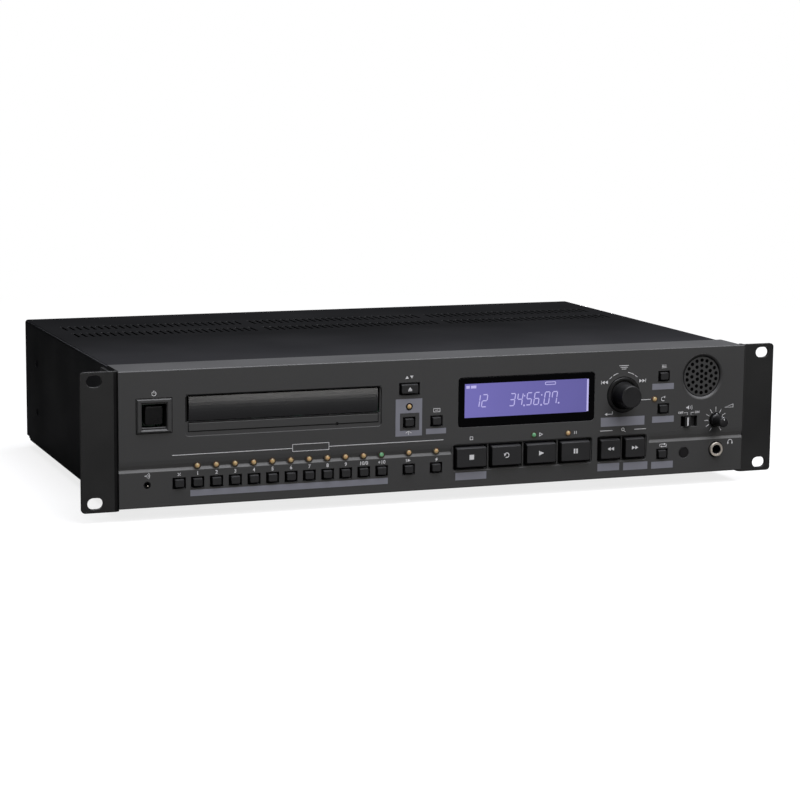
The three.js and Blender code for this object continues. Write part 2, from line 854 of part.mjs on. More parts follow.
function frontBezel() {
  const lipHalf = bodyHalf + bezelLipReach;
  const shell = join(beam(bezelSection(), -bodyHalf, bodyHalf), beam(lipSection(), -lipHalf, lipHalf));
  const sides = [-1, 1].map((side) => {
    const [a, b] = [side * bodyHalf, side * (bodyHalf - bezelWall)];
    return box(
      Math.min(a, b), Math.max(a, b), plateBackY - overrun, bezelDepth, bezelBottomZ,
      bezelTopZ - half(bezelWall),
    );
  });
  const bosses = boardBossPlaces().map(([x, z]) => rodBack(
    boardBossRadius, x, z, plateBackY - half(bezelPlate), boardY, sixSided,
  ));
  const grooves = [
    beam(grooveSection(), -lipHalf - overrun, grooveBreakLeft),
    beam(grooveSection(), grooveBreakRight, lipHalf + overrun),
  ];
  const keyHoles = keys.map((k) => through(rectangle(
    k.x, k.z, k.width + keyClearance, k.height + keyClearance,
  )));
  const lampHoles = lamps.map(([x, z]) => rodBack(
    lampRadius + lampClearance, x, z, faceY - overrun, plateBackY + overrun, sixSided,
  ));
  const openings = [
    through(rounded(displayX, displayZ, displayWidth + 2 * fit, displayHeight + 2 * fit, displayCorner)),
    through(rectangle(powerX, powerZ, powerFrameWidth + 2 * fit, powerFrameHeight + 2 * fit)),
    through(rectangle(switchX, switchZ, switchWidth, switchHeight)),
    turnedBack(
      [[0, faceY - overrun], [jogPocketRadius, faceY - overrun], [jogPocketRadius, faceY],
        [jogPocketRadius - pocketDepth, faceY + jogPocketDepth], [0, faceY + jogPocketDepth]],
      jogX, jogZ, fine,
    ),
    rodBack(encoderShaftRadius + fit, jogX, jogZ, faceY - overrun, plateBackY + overrun, medium),
    rodBack(levelHoleRadius, levelX, levelZ, faceY - overrun, plateBackY + overrun, medium),
    rodBack(phonesHoleRadius, phonesX, lowRowZ, faceY - overrun, plateBackY + overrun, medium),
    rodBack(remoteHoleRadius, remoteX, digitRowZ, faceY - overrun, plateBackY + overrun, medium),
    rodBack(irRadius + fit, irX, digitRowZ, faceY - overrun, plateBackY + overrun, medium),
    rodBack(pinholeRadius, pinholeX, pinholeZ, faceY - overrun, plateBackY + overrun, coarse),
  ];
  const face = cut(join(shell, sides), grooves, keyPockets(), slotCuts(), grilleCuts());
  return join(cut(face, keyHoles, lampHoles, openings), bosses);
}

// Rack ears

function rackEar(side) {
  const inner = bodyHalf;
  const outer = bodyHalf + earReach;
  const bendInner = earBendRadius - earThickness;
  const shape = new THREE.Shape();
  shape.moveTo(inner, earFlangeDepth);
  shape.lineTo(inner, earBendRadius);
  shape.absarc(inner + earBendRadius, earBendRadius, earBendRadius, Math.PI, half(3 * Math.PI), false);
  shape.lineTo(outer, 0);
  shape.lineTo(outer, earThickness);
  shape.lineTo(inner + earBendRadius, earThickness);
  shape.absarc(inner + earBendRadius, earBendRadius, bendInner, half(3 * Math.PI), Math.PI, true);
  shape.lineTo(inner + earThickness, earFlangeDepth);
  const bent = solid(
    new THREE.ExtrudeGeometry(
      shape, { depth: rackHeight, bevelEnabled: false, curveSegments: 2 * cornerSteps },
    )
      .translate(0, 0, earBottomZ),
  );
  const blankWidth = outer - inner + earCornerRadius + overrun;
  const blankX = outer - half(blankWidth);
  const blank = plate(
    rounded(blankX, 0, blankWidth, rackHeight, earCornerRadius), -overrun, earFlangeDepth + overrun,
  );
  const slotX = outer - rackSlotInsetX;
  const slotZ = earTopZ - rackSlotInsetZ;
  const slots = [-1, 1].map((end) => plate(
    rounded(slotX, end * slotZ, rackSlotLength, rackSlotHeight, half(rackSlotHeight)),
    -overrun, earThickness + overrun,
  ));
  const step = box(
    inner - overrun, outer, earBendRadius + earThickness, earFlangeDepth + overrun,
    coverTopZ - earFlangeDrop, earTopZ + overrun,
  );
  const ear = cut(bent.intersect(blank), slots, step);
  return side > 0 ? ear : ear.mirror([1, 0, 0]);
}

// Top cover: one sheet bent over the top and both sides

function coverSection() {
  const shape = new THREE.Shape();
  const inner = coverInnerHalf;
  const innerRadius = coverBendRadius - coverSheet;
  const bendX = bodyHalf - coverBendRadius;
  const bendZ = coverTopZ - coverBendRadius;
  shape.moveTo(bodyHalf, earBottomZ);
  shape.lineTo(bodyHalf, bendZ);
  shape.absarc(bendX, bendZ, coverBendRadius, 0, half(Math.PI), false);
  shape.lineTo(-bendX, coverTopZ);
  shape.absarc(-bendX, bendZ, coverBendRadius, half(Math.PI), Math.PI, false);
  shape.lineTo(-bodyHalf, earBottomZ);
  shape.lineTo(-inner, earBottomZ);
  shape.lineTo(-inner, bendZ);
  shape.absarc(-bendX, bendZ, innerRadius, Math.PI, half(Math.PI), true);
  shape.lineTo(bendX, coverTopZ - coverSheet);
  shape.absarc(bendX, bendZ, innerRadius, half(Math.PI), 0, true);
  shape.lineTo(inner, earBottomZ);
  return shape;
}

function ventSlots() {
  const slots = [];
  const groupWidth = (ventSlotsPerGroup - 1) * ventPitch;
  for (const fromRear of Object.values(ventRowsFromRear)) {
    for (let group = -ventGroupsEachSide; group <= ventGroupsEachSide; group += 1) {
      for (let i = 0; i < ventSlotsPerGroup; i += 1) {
        const x = group * ventGroupPitch - half(groupWidth) + i * ventPitch;
        const y = bodyDepth - fromRear;
        slots.push(slab(
          rectangle(x, y, ventSlotWidth, ventSlotLength), coverTopZ - coverSheet - overrun,
          coverTopZ + overrun,
        ));
      }
    }
  }
  return slots;
}

function topCover() {
  const front = bezelDepth + fit;
  const sheet = plate(coverSection(), front, bodyDepth);
  const notch = box(
    -bodyHalf - overrun, bodyHalf + overrun, bodyDepth - coverNotchLength, bodyDepth + overrun,
    earBottomZ - overrun, earBottomZ + coverNotchHeight,
  );
  return cut(sheet, notch, ventSlots());
}

// Base pan, with standoffs for the loader and the boards

function boardStandoffs() {
  const front = rearPanelY - rearBoardDepth + standoffInset;
  const rear = rearPanelY - standoffInset - xlrBody;
  const supplyFront = rearPanelY - supplyDepth;
  const loaderX = frameOuterHalf - standoffRadius;
  const loaderRear = frameRear - 2 * standoffInset;
  const loaderFront = frameFront + 2 * standoffInset;
  const low = [
    [rearBoardLeft + standoffInset, front], [rearBoardRight - standoffInset, front],
    [rearBoardLeft + standoffInset, rear], [rearBoardRight - standoffInset, rear],
    [supplyLeft + standoffInset, supplyFront], [supplyRight - standoffInset, supplyFront],
    [supplyLeft + standoffInset, rearPanelY - 2 * standoffInset],
    [supplyRight - standoffInset, rearPanelY - 2 * standoffInset],
  ];
  const high = [
    [trayX - loaderX, loaderFront], [trayX + loaderX, loaderFront],
    [trayX - loaderX, loaderRear], [trayX + loaderX, loaderRear],
  ];
  return [
    ...low.map(([x, y]) => rodUp(standoffRadius, x, y, panTopZ - half(panSheet), rearBoardZ, sixSided)),
    ...high.map(([x, y]) => rodUp(standoffRadius, x, y, panTopZ - half(panSheet), frameFloorZ, sixSided)),
  ];
}

function baseChassis() {
  const rear = bodyDepth - rearSheet;
  const floor = box(-panHalf, panHalf, panFront, rear, earBottomZ, panTopZ);
  const flanges = [-1, 1].map((side) => {
    const [a, b] = [side * panHalf, side * (panHalf - panSheet)];
    return box(
      Math.min(a, b), Math.max(a, b), bezelDepth + fit, rear - rearSheet - fit, earBottomZ,
      panTopZ + panFlangeHeight,
    );
  });
  return join(floor, flanges, boardStandoffs());
}

function foot(x, y) {
  const bottomZ = earBottomZ - footHeight;
  const profile = [
    [0, bottomZ + footRecessDepth], [footRecessRadius, bottomZ + footRecessDepth],
    [footRecessRadius, bottomZ],
    [footBottomRadius, bottomZ], [footTopRadius, earBottomZ], [0, earBottomZ],
  ];
  return turnedUp(profile, x, y, medium);
}

// Rear panel and the sockets in it

const xlrPlaces = [analogLeftX, analogRightX, digitalXlrX];
const rcaPlaces = [[rcaPairX, rcaLowZ], [rcaPairX, rcaHighZ], [coaxX, rcaLowZ]];
const dsubPlaces = [[dsubWideX, dsubWideWidth], [dsubNarrowX, dsubNarrowWidth]];

function dsubOutline(x, width, height) {
  const [w, h] = [half(width), half(height)];
  return polygon([
    [x - w + dsubSlope, rcaLowZ - h], [x + w - dsubSlope, rcaLowZ - h], [x + w, rcaLowZ + h],
    [x - w, rcaLowZ + h],
  ]);
}

function rearPanel() {
  const bottomZ = panTopZ + fit;
  const topZ = coverTopZ - coverSheet - fit;
  const sheet = box(-panHalf, panHalf, rearPanelY, rearPanelY + rearSheet, bottomZ, topZ);
  const [y0, y1] = [rearPanelY - overrun, rearPanelY + rearSheet + overrun];
  const gap = socketClearance;
  return cut(
    sheet,
    xlrPlaces.map((x) => plate(rectangle(x, xlrZ, xlrShell + 2 * gap, xlrShell + 2 * gap), y0, y1)),
    rcaPlaces.map(([x, z]) => rodBack(rcaRadius + gap, x, z, y0, y1, medium)),
    dsubPlaces.map(([x, w]) => plate(dsubOutline(x, w + 2 * gap, dsubHeight + 2 * gap), y0, y1)),
    plate(rectangle(inletX, inletZ, inletWidth + 2 * gap, inletHeight + 2 * gap), y0, y1),
  );
}

function xlrSocket(x) {
  const outerY = rearPanelY + rearSheet + xlrProud;
  const baseZ = rearBoardZ + half(rearBoardSheet);
  const bodyBack = rearPanelY - fit;
  const block = box(
    x - half(xlrBody), x + half(xlrBody), bodyBack - xlrBody, bodyBack, baseZ, xlrZ + half(xlrBody),
  );
  const shell = plate(rectangle(x, xlrZ, xlrShell, xlrShell), bodyBack - overrun, outerY);
  return [block, shell];
}

function xlrBoreCut(x) {
  const outerY = rearPanelY + rearSheet + xlrProud;
  return rodBack(xlrBore, x, xlrZ, outerY - xlrDepth, outerY + overrun, fine);
}

function rcaSocket([x, z]) {
  const baseZ = rearBoardZ + half(rearBoardSheet);
  const bodyBack = rearPanelY - fit;
  const block = box(
    x - half(rcaBody), x + half(rcaBody), bodyBack - rcaDepth, bodyBack, baseZ, z + half(rcaBody),
  );
  return [block, rodBack(rcaRadius, x, z, bodyBack - overrun, rearPanelY + rearSheet + rcaProud, medium)];
}

function rcaBoreCut([x, z]) {
  const tip = rearPanelY + rearSheet + rcaProud;
  return rodBack(rcaPinBore, x, z, tip - rcaProud, tip + overrun, coarse);
}

function dsubSocket([x, width]) {
  const baseZ = rearBoardZ + half(rearBoardSheet);
  const bodyBack = rearPanelY - fit;
  const flangeHalf = half(width) + dsubFlangeRim;
  const block = box(
    x - flangeHalf, x + flangeHalf, bodyBack - dsubDepth, bodyBack, baseZ,
    rcaLowZ + half(dsubFlangeHeight),
  );
  const shell = plate(
    dsubOutline(x, width, dsubHeight), bodyBack - overrun, rearPanelY + rearSheet + dsubProud,
  );
  return [block, shell];
}

function mainBoard() {
  const front = rearPanelY - rearBoardDepth;
  const rear = rearPanelY - fit;
  const sheet = box(rearBoardLeft, rearBoardRight, front, rear, rearBoardZ, rearBoardZ + rearBoardSheet);
  const chip = box(
    coaxX, coaxX + coreSize, front + standoffInset, front + standoffInset + sinkWidth,
    rearBoardZ + half(rearBoardSheet), rearBoardZ + rearBoardSheet + boardSheet,
  );
  const whole = join(
    sheet, chip, xlrPlaces.map(xlrSocket), rcaPlaces.map(rcaSocket), dsubPlaces.map(dsubSocket),
  );
  return cut(whole, xlrPlaces.map(xlrBoreCut), rcaPlaces.map(rcaBoreCut));
}

function powerSupply() {
  const front = rearPanelY - supplyDepth - standoffInset;
  const rear = rearPanelY - standoffInset;
  const midZ = rearBoardZ + half(rearBoardSheet);
  const sheet = box(supplyLeft, supplyRight, front, rear, rearBoardZ, rearBoardZ + rearBoardSheet);
  const coreLeft = supplyLeft + standoffInset;
  const coreFront = front + 2 * standoffInset;
  const core = box(coreLeft, coreLeft + coreSize, coreFront, coreFront + coreSize, midZ, midZ + coreHeight);
  const capX = coreLeft + coreSize + standoffInset + capRadius;
  const caps = [coreFront, coreFront + 2 * capRadius + standoffInset].map((y) => rodUp(
    capRadius, capX, y, midZ, midZ + capHeight, medium,
  ));
  const sinkX = capX + capRadius + standoffInset;
  const spine = box(sinkX, sinkX + sinkFin, coreFront, coreFront + sinkWidth, midZ, midZ + sinkHeight);
  const finPitch = (sinkWidth - sinkFin) / (sinkFins - 1);
  const fins = Array.from({ length: sinkFins }, (_, i) => box(
    sinkX, sinkX + half(capRadius), coreFront + i * finPitch, coreFront + i * finPitch + sinkFin, midZ,
    midZ + sinkHeight,
  ));
  return join(sheet, core, caps, spine, fins);
}

function acInlet() {
  const flangeY0 = rearPanelY + rearSheet;
  const flange = plate(
    rounded(inletX, inletZ, inletFlangeWidth, inletFlangeHeight, inletCorner), flangeY0,
    flangeY0 + inletFlange,
  );
  const body = plate(
    rectangle(inletX, inletZ, inletWidth, inletHeight), flangeY0 - inletBody,
    flangeY0 + half(inletFlange),
  );
  const [w, h] = [half(inletSocketWidth), half(inletSocketHeight)];
  const socket = polygon([
    [inletX - w, inletZ - h], [inletX + w, inletZ - h], [inletX + w, inletZ + h - inletCorner],
    [inletX + w - inletCorner, inletZ + h], [inletX - w + inletCorner, inletZ + h],
    [inletX - w, inletZ + h - inletCorner],
  ]);
  const mouth = flangeY0 + inletFlange;
  return cut(join(flange, body), plate(socket, mouth - inletSocketDepth, mouth + overrun));
}

// Front board with the switches, lamps and controls that sit on it

function frontBoard() {
  const left = -bodyHalf + boardMargin;
  const right = bodyHalf - boardMargin;
  const middleLeft = shiftKeyX - boardMiddleLead;
  const middleRight = columnKeyX + boardMiddleTail;
  const armRight = powerX + half(powerFrameWidth) - boardArmInset;
  const outline = polygon([
    [left, boardBottomZ], [right, boardBottomZ], [right, boardRightShelfZ], [middleRight, boardRightShelfZ],
    [middleRight, boardTopZ], [middleLeft, boardTopZ], [middleLeft, boardShelfZ],
    [armRight, boardShelfZ], [armRight, boardTopZ], [left, boardTopZ],
  ]);
  const sheet = plate(outline, boardY, boardY + boardSheet);
  const inBoard = boardY + half(boardSheet);
  const switches = keys.map((k) => plate(
    rectangle(k.x, k.z, keySwitchSize, keySwitchSize), keySwitchY, inBoard,
  ));
  const lampPipes = lamps.map(([x, z]) => turnedBack(
    [
      [0, faceY - lampProud], [half(lampRadius), faceY - lampProud], [lampRadius, faceY],
      [lampRadius, inBoard], [0, inBoard],
    ],
    x, z, sixSided,
  ));
  const encoderFront = boardY - encoderBodyDepth;
  const encoder = plate(rectangle(jogX, jogZ, encoderBodySize, encoderBodySize), encoderFront, inBoard);
  const encoderBore = rodBack(
    encoderShaftRadius + fit, jogX, jogZ, encoderFront - overrun, boardY + boardSheet + overrun, medium,
  );
  const level = plate(
    rectangle(levelX, levelZ, levelBodySize, levelBodySize), boardY - half(levelBodySize), inBoard,
  );
  const levelPin = rodBack(levelShaftRadius, levelX, levelZ, faceY - half(levelProud), inBoard, coarse);
  const slide = plate(
    rectangle(switchX, switchZ, switchWidth, switchHeight), boardY - switchBodyHeight, inBoard,
  );
  const remote = plate(
    rectangle(remoteX, digitRowZ, remoteBodySize, remoteBodySize), plateBackY + fit, inBoard,
  );
  const remoteHole = rodBack(half(remoteBore), remoteX, digitRowZ, plateBackY, boardY, coarse);
  const powerFront = plateBackY + powerFrameDepth + powerTravel + 2 * fit;
  const powerBlock = plate(
    rectangle(powerX, powerZ, powerFrameWidth - 2 * powerBevel, powerFrameHeight - 2 * powerBevel),
    boardY, boardY + powerBodyDepth,
  );
  const powerHole = plate(
    rectangle(powerX, powerZ, powerPlunger + 2 * fit, powerPlunger + 2 * fit),
    powerFront - overrun, boardY + half(powerBodyDepth),
  );
  const whole = join(sheet, switches, lampPipes, encoder, level, levelPin, slide, remote, powerBlock);
  return cut(whole, encoderBore, remoteHole, powerHole);
}

// Small pieces set into the bezel

function displayWindow() {
  const pane = plate(
    rounded(displayX, displayZ, displayWidth, displayHeight, displayCorner), faceY,
    flangeY + half(displayRimThickness),
  );
  const rimShape = rounded(
    displayX, displayZ, displayWidth + 2 * displayRim, displayHeight + 2 * displayRim, displayCorner,
  );
  return join(pane, plate(rimShape, flangeY, flangeY + displayRimThickness));
}

function lcdModule() {
  const front = flangeY + displayRimThickness + fit;
  const rear = boardY - fit;
  const glassZ = displayZ + lcdGlassRise;
  const glass = plate(rectangle(displayX, glassZ, lcdGlassWidth, lcdGlassHeight), front, rear);
  const body = plate(
    rounded(displayX, displayZ, lcdWidth, lcdHeight, displayCorner), front + lcdGlassStep, rear,
  );
  return join(glass, body);
}

function powerFrame() {
  const rear = plateBackY + powerFrameDepth;
  const rim = plate(
    rectangle(powerX, powerZ, powerFrameWidth, powerFrameHeight), faceY - powerFrameRim, rear,
  );
  const well = plate(
    rectangle(powerX, powerZ, powerOpeningWidth, powerOpeningHeight), faceY - powerFrameRim - overrun,
    rear + overrun,
  );
  const latchWidth = powerFrameWidth + 2 * fit + 2 * powerBevel;
  const latch = plate(rectangle(powerX, powerZ, latchWidth, powerFrameHeight), flangeY, flangeY + powerBevel);
  const [w, h] = [half(powerOpeningWidth), half(powerOpeningHeight)];
  const ledge = polygon([
    [faceY - powerFrameRim - overrun, powerZ - h - powerBevel],
    [faceY - powerFrameRim, powerZ - h - powerBevel],
    [faceY + powerBevel, powerZ - h],
    [faceY - powerFrameRim - overrun, powerZ - h],
  ]);
  return cut(join(rim, latch), well, beam(ledge, powerX - w, powerX + w));
}

function powerButton() {
  const front = faceY + powerButtonSunk;
  const capRear = plateBackY + powerFrameDepth;
  const cap = new THREE.ExtrudeGeometry(
    rounded(0, 0, powerButtonWidth - keyTaper, powerButtonHeight - keyTaper, keyCorner),
    {
      depth: capRear - front - keyTaper,
      bevelThickness: half(keyTaper),
      bevelSize: half(keyTaper),
      bevelSegments: 1,
      curveSegments: cornerSteps,
    },
  );
  const capSolid = solid(cap.rotateX(half(Math.PI)).translate(powerX, capRear - half(keyTaper), powerZ));
  const plunger = plate(
    rectangle(powerX, powerZ, powerPlunger, powerPlunger), capRear - overrun, boardY + powerPlunger,
  );
  return join(capSolid, plunger);
}

function phonesJack() {
  const front = faceY - phonesProud;
  const bush = rodBack(phonesBushRadius, phonesX, lowRowZ, front, flangeY + overrun, fine);
  const body = plate(rectangle(phonesX, lowRowZ, phonesBodySize, phonesBodySize), flangeY, boardY - fit);
  const bore = rodBack(
    half(phonesBore), phonesX, lowRowZ, front - overrun, boardY - fit - boardSheet, medium,
  );
  return cut(join(bush, body), bore);
}

function irWindow() {
  const flangeBack = flangeY + irThickness;
  return turnedBack(
    [
      [0, faceY], [irRadius, faceY], [irRadius, flangeY], [irRadius + irRim, flangeY],
      [irRadius + irRim, flangeBack], [0, flangeBack],
    ],
    irX, digitRowZ, medium,
  );
}

function speakerDriver() {
  const back = flangeY + speakerDepth;
  const profile = [
    [0, flangeY + speakerRimThickness], [half(speakerRadius), flangeY + speakerRimThickness],
    [speakerRadius - speakerRimThickness, flangeY],
    [speakerRadius, flangeY], [speakerRadius, flangeY + speakerRimThickness],
    [speakerMagnetRadius, back - speakerMagnetDepth], [speakerMagnetRadius, back], [0, back],
  ];
  return turnedBack(profile, speakerX, speakerZ, medium);
}

function switchSlider() {
  const x = switchX - half(switchTravel);
  const plateWidth = switchWidth + switchTravel + 2 * switchPlateRim;
  const guard = plate(
    rectangle(x, switchZ, plateWidth, switchHeight + 2 * switchPlateRim), flangeY,
    flangeY + switchPlate,
  );
  const handle = plate(
    rectangle(x, switchZ, switchHandle, switchHeight - 2 * fit), faceY - switchProud,
    flangeY + half(switchPlate),
  );
  const stem = plate(rectangle(x, switchZ, keyStem, keyStem), flangeY, boardY - switchBodyHeight - fit);
  return join(guard, handle, stem);
}

// Knobs

function encoderShaft() {
  const front = faceY - jogProud + half(jogBore);
  return rodBack(encoderShaftRadius, jogX, jogZ, front, boardY - fit, medium);
}

function jogDial() {
  const front = faceY - jogProud;
  const rear = faceY + jogPocketDepth - jogPush - jogSkirtGap;
  const boreEnd = front + half(jogBore) - fit;
  const bore = encoderShaftRadius + fit;
  const profile = [
    [0, front], [jogFrontRadius - jogFillet, front], [jogFrontRadius, front + jogFillet],
    [jogRadius, rear - jogFillet], [jogRadius - half(jogFillet), rear], [bore, rear], [bore, boreEnd],
    [0, boreEnd],
  ];
  return turnedBack(profile, jogX, jogZ, fine);
}

function levelKnob() {
  const front = faceY - levelProud;
  const rear = boardY - half(levelBodySize) - fit;
  const bore = levelShaftRadius + fit;
  const boreEnd = faceY - half(levelProud) - fit;
  const profile = [
    [0, front], [levelFrontRadius - half(jogFillet), front], [levelFrontRadius, front + half(jogFillet)],
    [levelBaseRadius, faceY], [levelBaseRadius, rear], [bore, rear], [bore, boreEnd], [0, boreEnd],
  ];
  const knob = turnedBack(profile, levelX, levelZ, medium);
  const pointer = plate(
    rectangle(levelX, levelZ + levelFrontRadius, fit, jogFillet), front - overrun, front + half(levelProud),
  );
  return cut(knob, pointer);
}

// Tray door and disc tray

function trayDoor() {
  const front = faceY + doorSunk;
  const midZ = half(doorTopZ + doorBottomZ);
  const shape = new THREE.Shape();
  shape.moveTo(trayFrontY, doorBottomZ);
  shape.lineTo(front + doorBulge, doorBottomZ);
  shape.quadraticCurveTo(front - doorBulge, midZ, front + doorBulge, doorTopZ);
  shape.lineTo(trayFrontY, doorTopZ);
  const geometry = new THREE.ExtrudeGeometry(
    shape, { depth: doorWidth, bevelEnabled: false, curveSegments: coarse },
  );
  const turned = geometry.rotateX(half(Math.PI)).rotateZ(half(Math.PI)).translate(
    trayX - half(doorWidth), 0, 0,
  );
  return solid(turned);
}

const toothPitch = Math.PI * gearModule;
const pitchRadius = half(gearTeeth * gearModule);
const rackPitchX = trayX + half(trayWidth) - rackEdgeInset;
const gearX = rackPitchX - pitchRadius;

function rackTeeth(y0, y1) {
  const tip = rackPitchX - addendumShare * gearModule;
  const root = rackPitchX + dedendumShare * gearModule;
  const back = root + rackBack;
  const points = [[back, y0], [back, y1], [root, y1]];
  const count = Math.floor((y1 - y0) / toothPitch);
  const phaseY = gearY - Math.round((gearY - y0) / toothPitch) * toothPitch;
  for (let i = count; i >= 0; i -= 1) {
    const y = phaseY + i * toothPitch;
    const [rootHalf, tipHalf] = [half(toothShare * toothPitch), half(toothTipShare * toothPitch)];
    if (y - rootHalf > y0 && y + rootHalf < y1) {
      points.push([root, y + rootHalf], [tip, y + tipHalf], [tip, y - tipHalf], [root, y - rootHalf]);
    }
  }
  points.push([root, y0]);
  return slab(polygon(points), trayBottomZ - rackDrop, trayBottomZ + overrun);
}

function discTray() {
  const rear = trayFrontY + trayLength;
  const left = trayX - half(trayWidth);
  const right = trayX + half(trayWidth);
  const blank = box(left, right, trayFrontY, rear, trayBottomZ, trayRimZ);
  const seatCut = rodUp(discSeatRadius, trayX, spindleY, seatFloorZ, trayRimZ + overrun, 2 * fine);
  const smallSeat = rodUp(
    smallSeatRadius, trayX, spindleY, seatFloorZ - smallSeatDepth, trayRimZ + overrun, fine,
  );
  const slotFront = spindleY - spindleSlotLead + half(spindleSlotWidth);
  const slotRound = rodUp(
    half(spindleSlotWidth), trayX, slotFront, trayBottomZ - overrun, trayRimZ + overrun, medium,
  );
  const slotStraight = box(
    trayX - half(spindleSlotWidth), trayX + half(spindleSlotWidth), slotFront, rear + overrun,
    trayBottomZ - overrun, trayRimZ + overrun,
  );
  const rack = rackTeeth(trayFrontY + discFrontMargin, rear);
  return cut(join(blank, rack), seatCut, smallSeat, slotRound, slotStraight);
}

function loadingGear() {
  const shape = new THREE.Shape();
  const [tip, root] = [pitchRadius + addendumShare * gearModule, pitchRadius - dedendumShare * gearModule];
  const step = (2 * Math.PI) / gearTeeth;
  const [rootHalf, tipHalf] = [half(toothShare * step), half(toothTipShare * step)];
  for (let i = 0; i < gearTeeth; i += 1) {
    const mid = (i + half(1)) * step;
    const corners = [
      [root, mid - rootHalf], [tip, mid - tipHalf], [tip, mid + tipHalf], [root, mid + rootHalf],
    ];
    for (const [r, a] of corners) {
      const [x, y] = [gearX + r * Math.cos(a), gearY + r * Math.sin(a)];
      if (shape.curves.length === 0 && shape.currentPoint.length() === 0) {
        shape.moveTo(x, y);
      } else {
        shape.lineTo(x, y);
      }
    }
  }
  const top = trayBottomZ - fit;
  const disc = slab(shape, top - gearFace, top);
  const hub = rodUp(
    half(pitchRadius), gearX, gearY, frameFloorZ + frameFloor + fit, top - half(gearFace), medium,
  );
  return cut(join(disc, hub), rodUp(gearBore, gearX, gearY, frameFloorZ, top + overrun, medium));
}

// Loader: frame, bridge and clamp

function loaderFrame() {
  const ledgeTop = trayBottomZ - fit;
  const walls = [-1, 1].map((side) => {
    const outline = [
      [frameOuterHalf, frameFloorZ], [frameOuterHalf, frameTopZ], [frameInnerHalf - ledgeWidth, frameTopZ],
      [frameInnerHalf - ledgeWidth, frameTopZ - lipThickness], [frameInnerHalf, frameTopZ - lipThickness],
      [frameInnerHalf, ledgeTop], [frameInnerHalf - ledgeWidth, ledgeTop],
      [frameInnerHalf - ledgeWidth, ledgeTop - ledgeThickness], [frameInnerHalf, ledgeTop - ledgeThickness],
      [frameInnerHalf, frameFloorZ],
    ];
    return plate(polygon(outline.map(([x, z]) => [trayX + side * x, z])), frameFront, frameRear);
  });
  const floor = cut(
    box(
      trayX - frameOuterHalf, trayX + frameOuterHalf, frameFront, frameRear, frameFloorZ,
      frameFloorZ + frameFloor,
    ),
    box(
      trayX - frameOpeningHalf, trayX + frameOpeningHalf,
      deckFrontY - frameOpeningLead, deckPivotY - frameOpeningTail,
      frameFloorZ - overrun, frameFloorZ + frameFloor + overrun,
    ),
  );
  const lugX = half(deckWidth) + fit;
  const lugs = [-1, 1].map((side) => {
    const [a, b] = [trayX + side * lugX, trayX + side * (lugX + deckLugWidth)];
    return box(
      Math.min(a, b), Math.max(a, b), deckPivotY - 2 * deckLugWidth + railSupport, deckPivotY + deckLugWidth,
      frameFloorZ, deckTopZ,
    );
  });
  const pinZ = deckTopZ - half(deckSheet) - deckPinRadius;
  const pinHole = rodAcross(
    deckPinRadius + fit, deckPivotY, pinZ, trayX - deckWidth, trayX + deckWidth, medium,
  );
  const post = rodUp(gearShaft, gearX, gearY, frameFloorZ, trayBottomZ - fit - half(gearFace), coarse);
  return cut(join(walls, floor, lugs, post), pinHole.intersect(join(lugs)));
}

function clampBridge() {
  const legZ = frameTopZ;
  const topZ = legZ + bridgeRise;
  const outer = frameOuterHalf;
  const inner = frameOuterHalf - frameWall;
  const outline = polygon([
    [trayX - outer, legZ], [trayX - inner, legZ], [trayX - inner, topZ - bridgeSheet],
    [trayX + inner, topZ - bridgeSheet],
    [trayX + inner, legZ], [trayX + outer, legZ], [trayX + outer, topZ], [trayX - outer, topZ],
  ]);
  const strap = plate(
    outline, spindleY - half(bridgeWidth) - clampHead, spindleY + half(bridgeWidth) + clampHead,
  );
  return cut(strap, rodUp(clampNeckRadius + fit, trayX, spindleY, legZ - overrun, topZ + overrun, fine));
}

function discClamp() {
  const headZ = frameTopZ + bridgeRise + fit;
  const bossHole = hubRadius + 2 * fit;
  const profile = [
    [0, clampFootZ + hubHeight], [bossHole, clampFootZ + hubHeight], [bossHole, clampFootZ],
    [clampRadius, clampFootZ],
    [clampRadius, clampFootZ + clampFoot], [clampNeckRadius, clampFootZ + clampFoot],
    [clampNeckRadius, headZ],
    [clampRadius, headZ], [clampRadius - clampHead, headZ + clampHead], [0, headZ + clampHead],
  ];
  return turnedUp(profile, trayX, spindleY, medium);
}

// Traverse deck, turntable and sled

const sledY = spindleY + sledStartFromSpindle;
const railZ = deckTopZ - half(deckSheet);

function traverseDeck() {
  const bottomZ = deckTopZ - deckSheet;
  const rear = deckPivotY + deckLugWidth;
  const sheet = box(trayX - half(deckWidth), trayX + half(deckWidth), deckFrontY, rear, bottomZ, deckTopZ);
  const windowFront = sledY - half(sledLength) - fit;
  const windowRear = sledY + sledTravel + half(sledLength) + fit;
  const windowHalf = half(sledWidth) + fit;
  const opening = box(
    trayX - windowHalf, trayX + windowHalf, windowFront, windowRear, bottomZ - overrun,
    deckTopZ + overrun,
  );
  const rails = [-1, 1].map((side) => rodBack(
    railRadius, trayX + side * half(railSpacing), railZ, windowFront - overrun, windowRear + overrun, medium,
  ));
  const motor = rodUp(motorRadius, trayX, spindleY, bottomZ - motorHeight, bottomZ + half(deckSheet), fine);
  const pinZ = bottomZ + half(deckSheet) - deckPinRadius;
  const pinReach = half(deckWidth) + deckPinReach;
  const pin = rodAcross(deckPinRadius, deckPivotY, pinZ, trayX - pinReach, trayX + pinReach, medium);
  return join(cut(sheet, opening), rails, motor, pin);
}

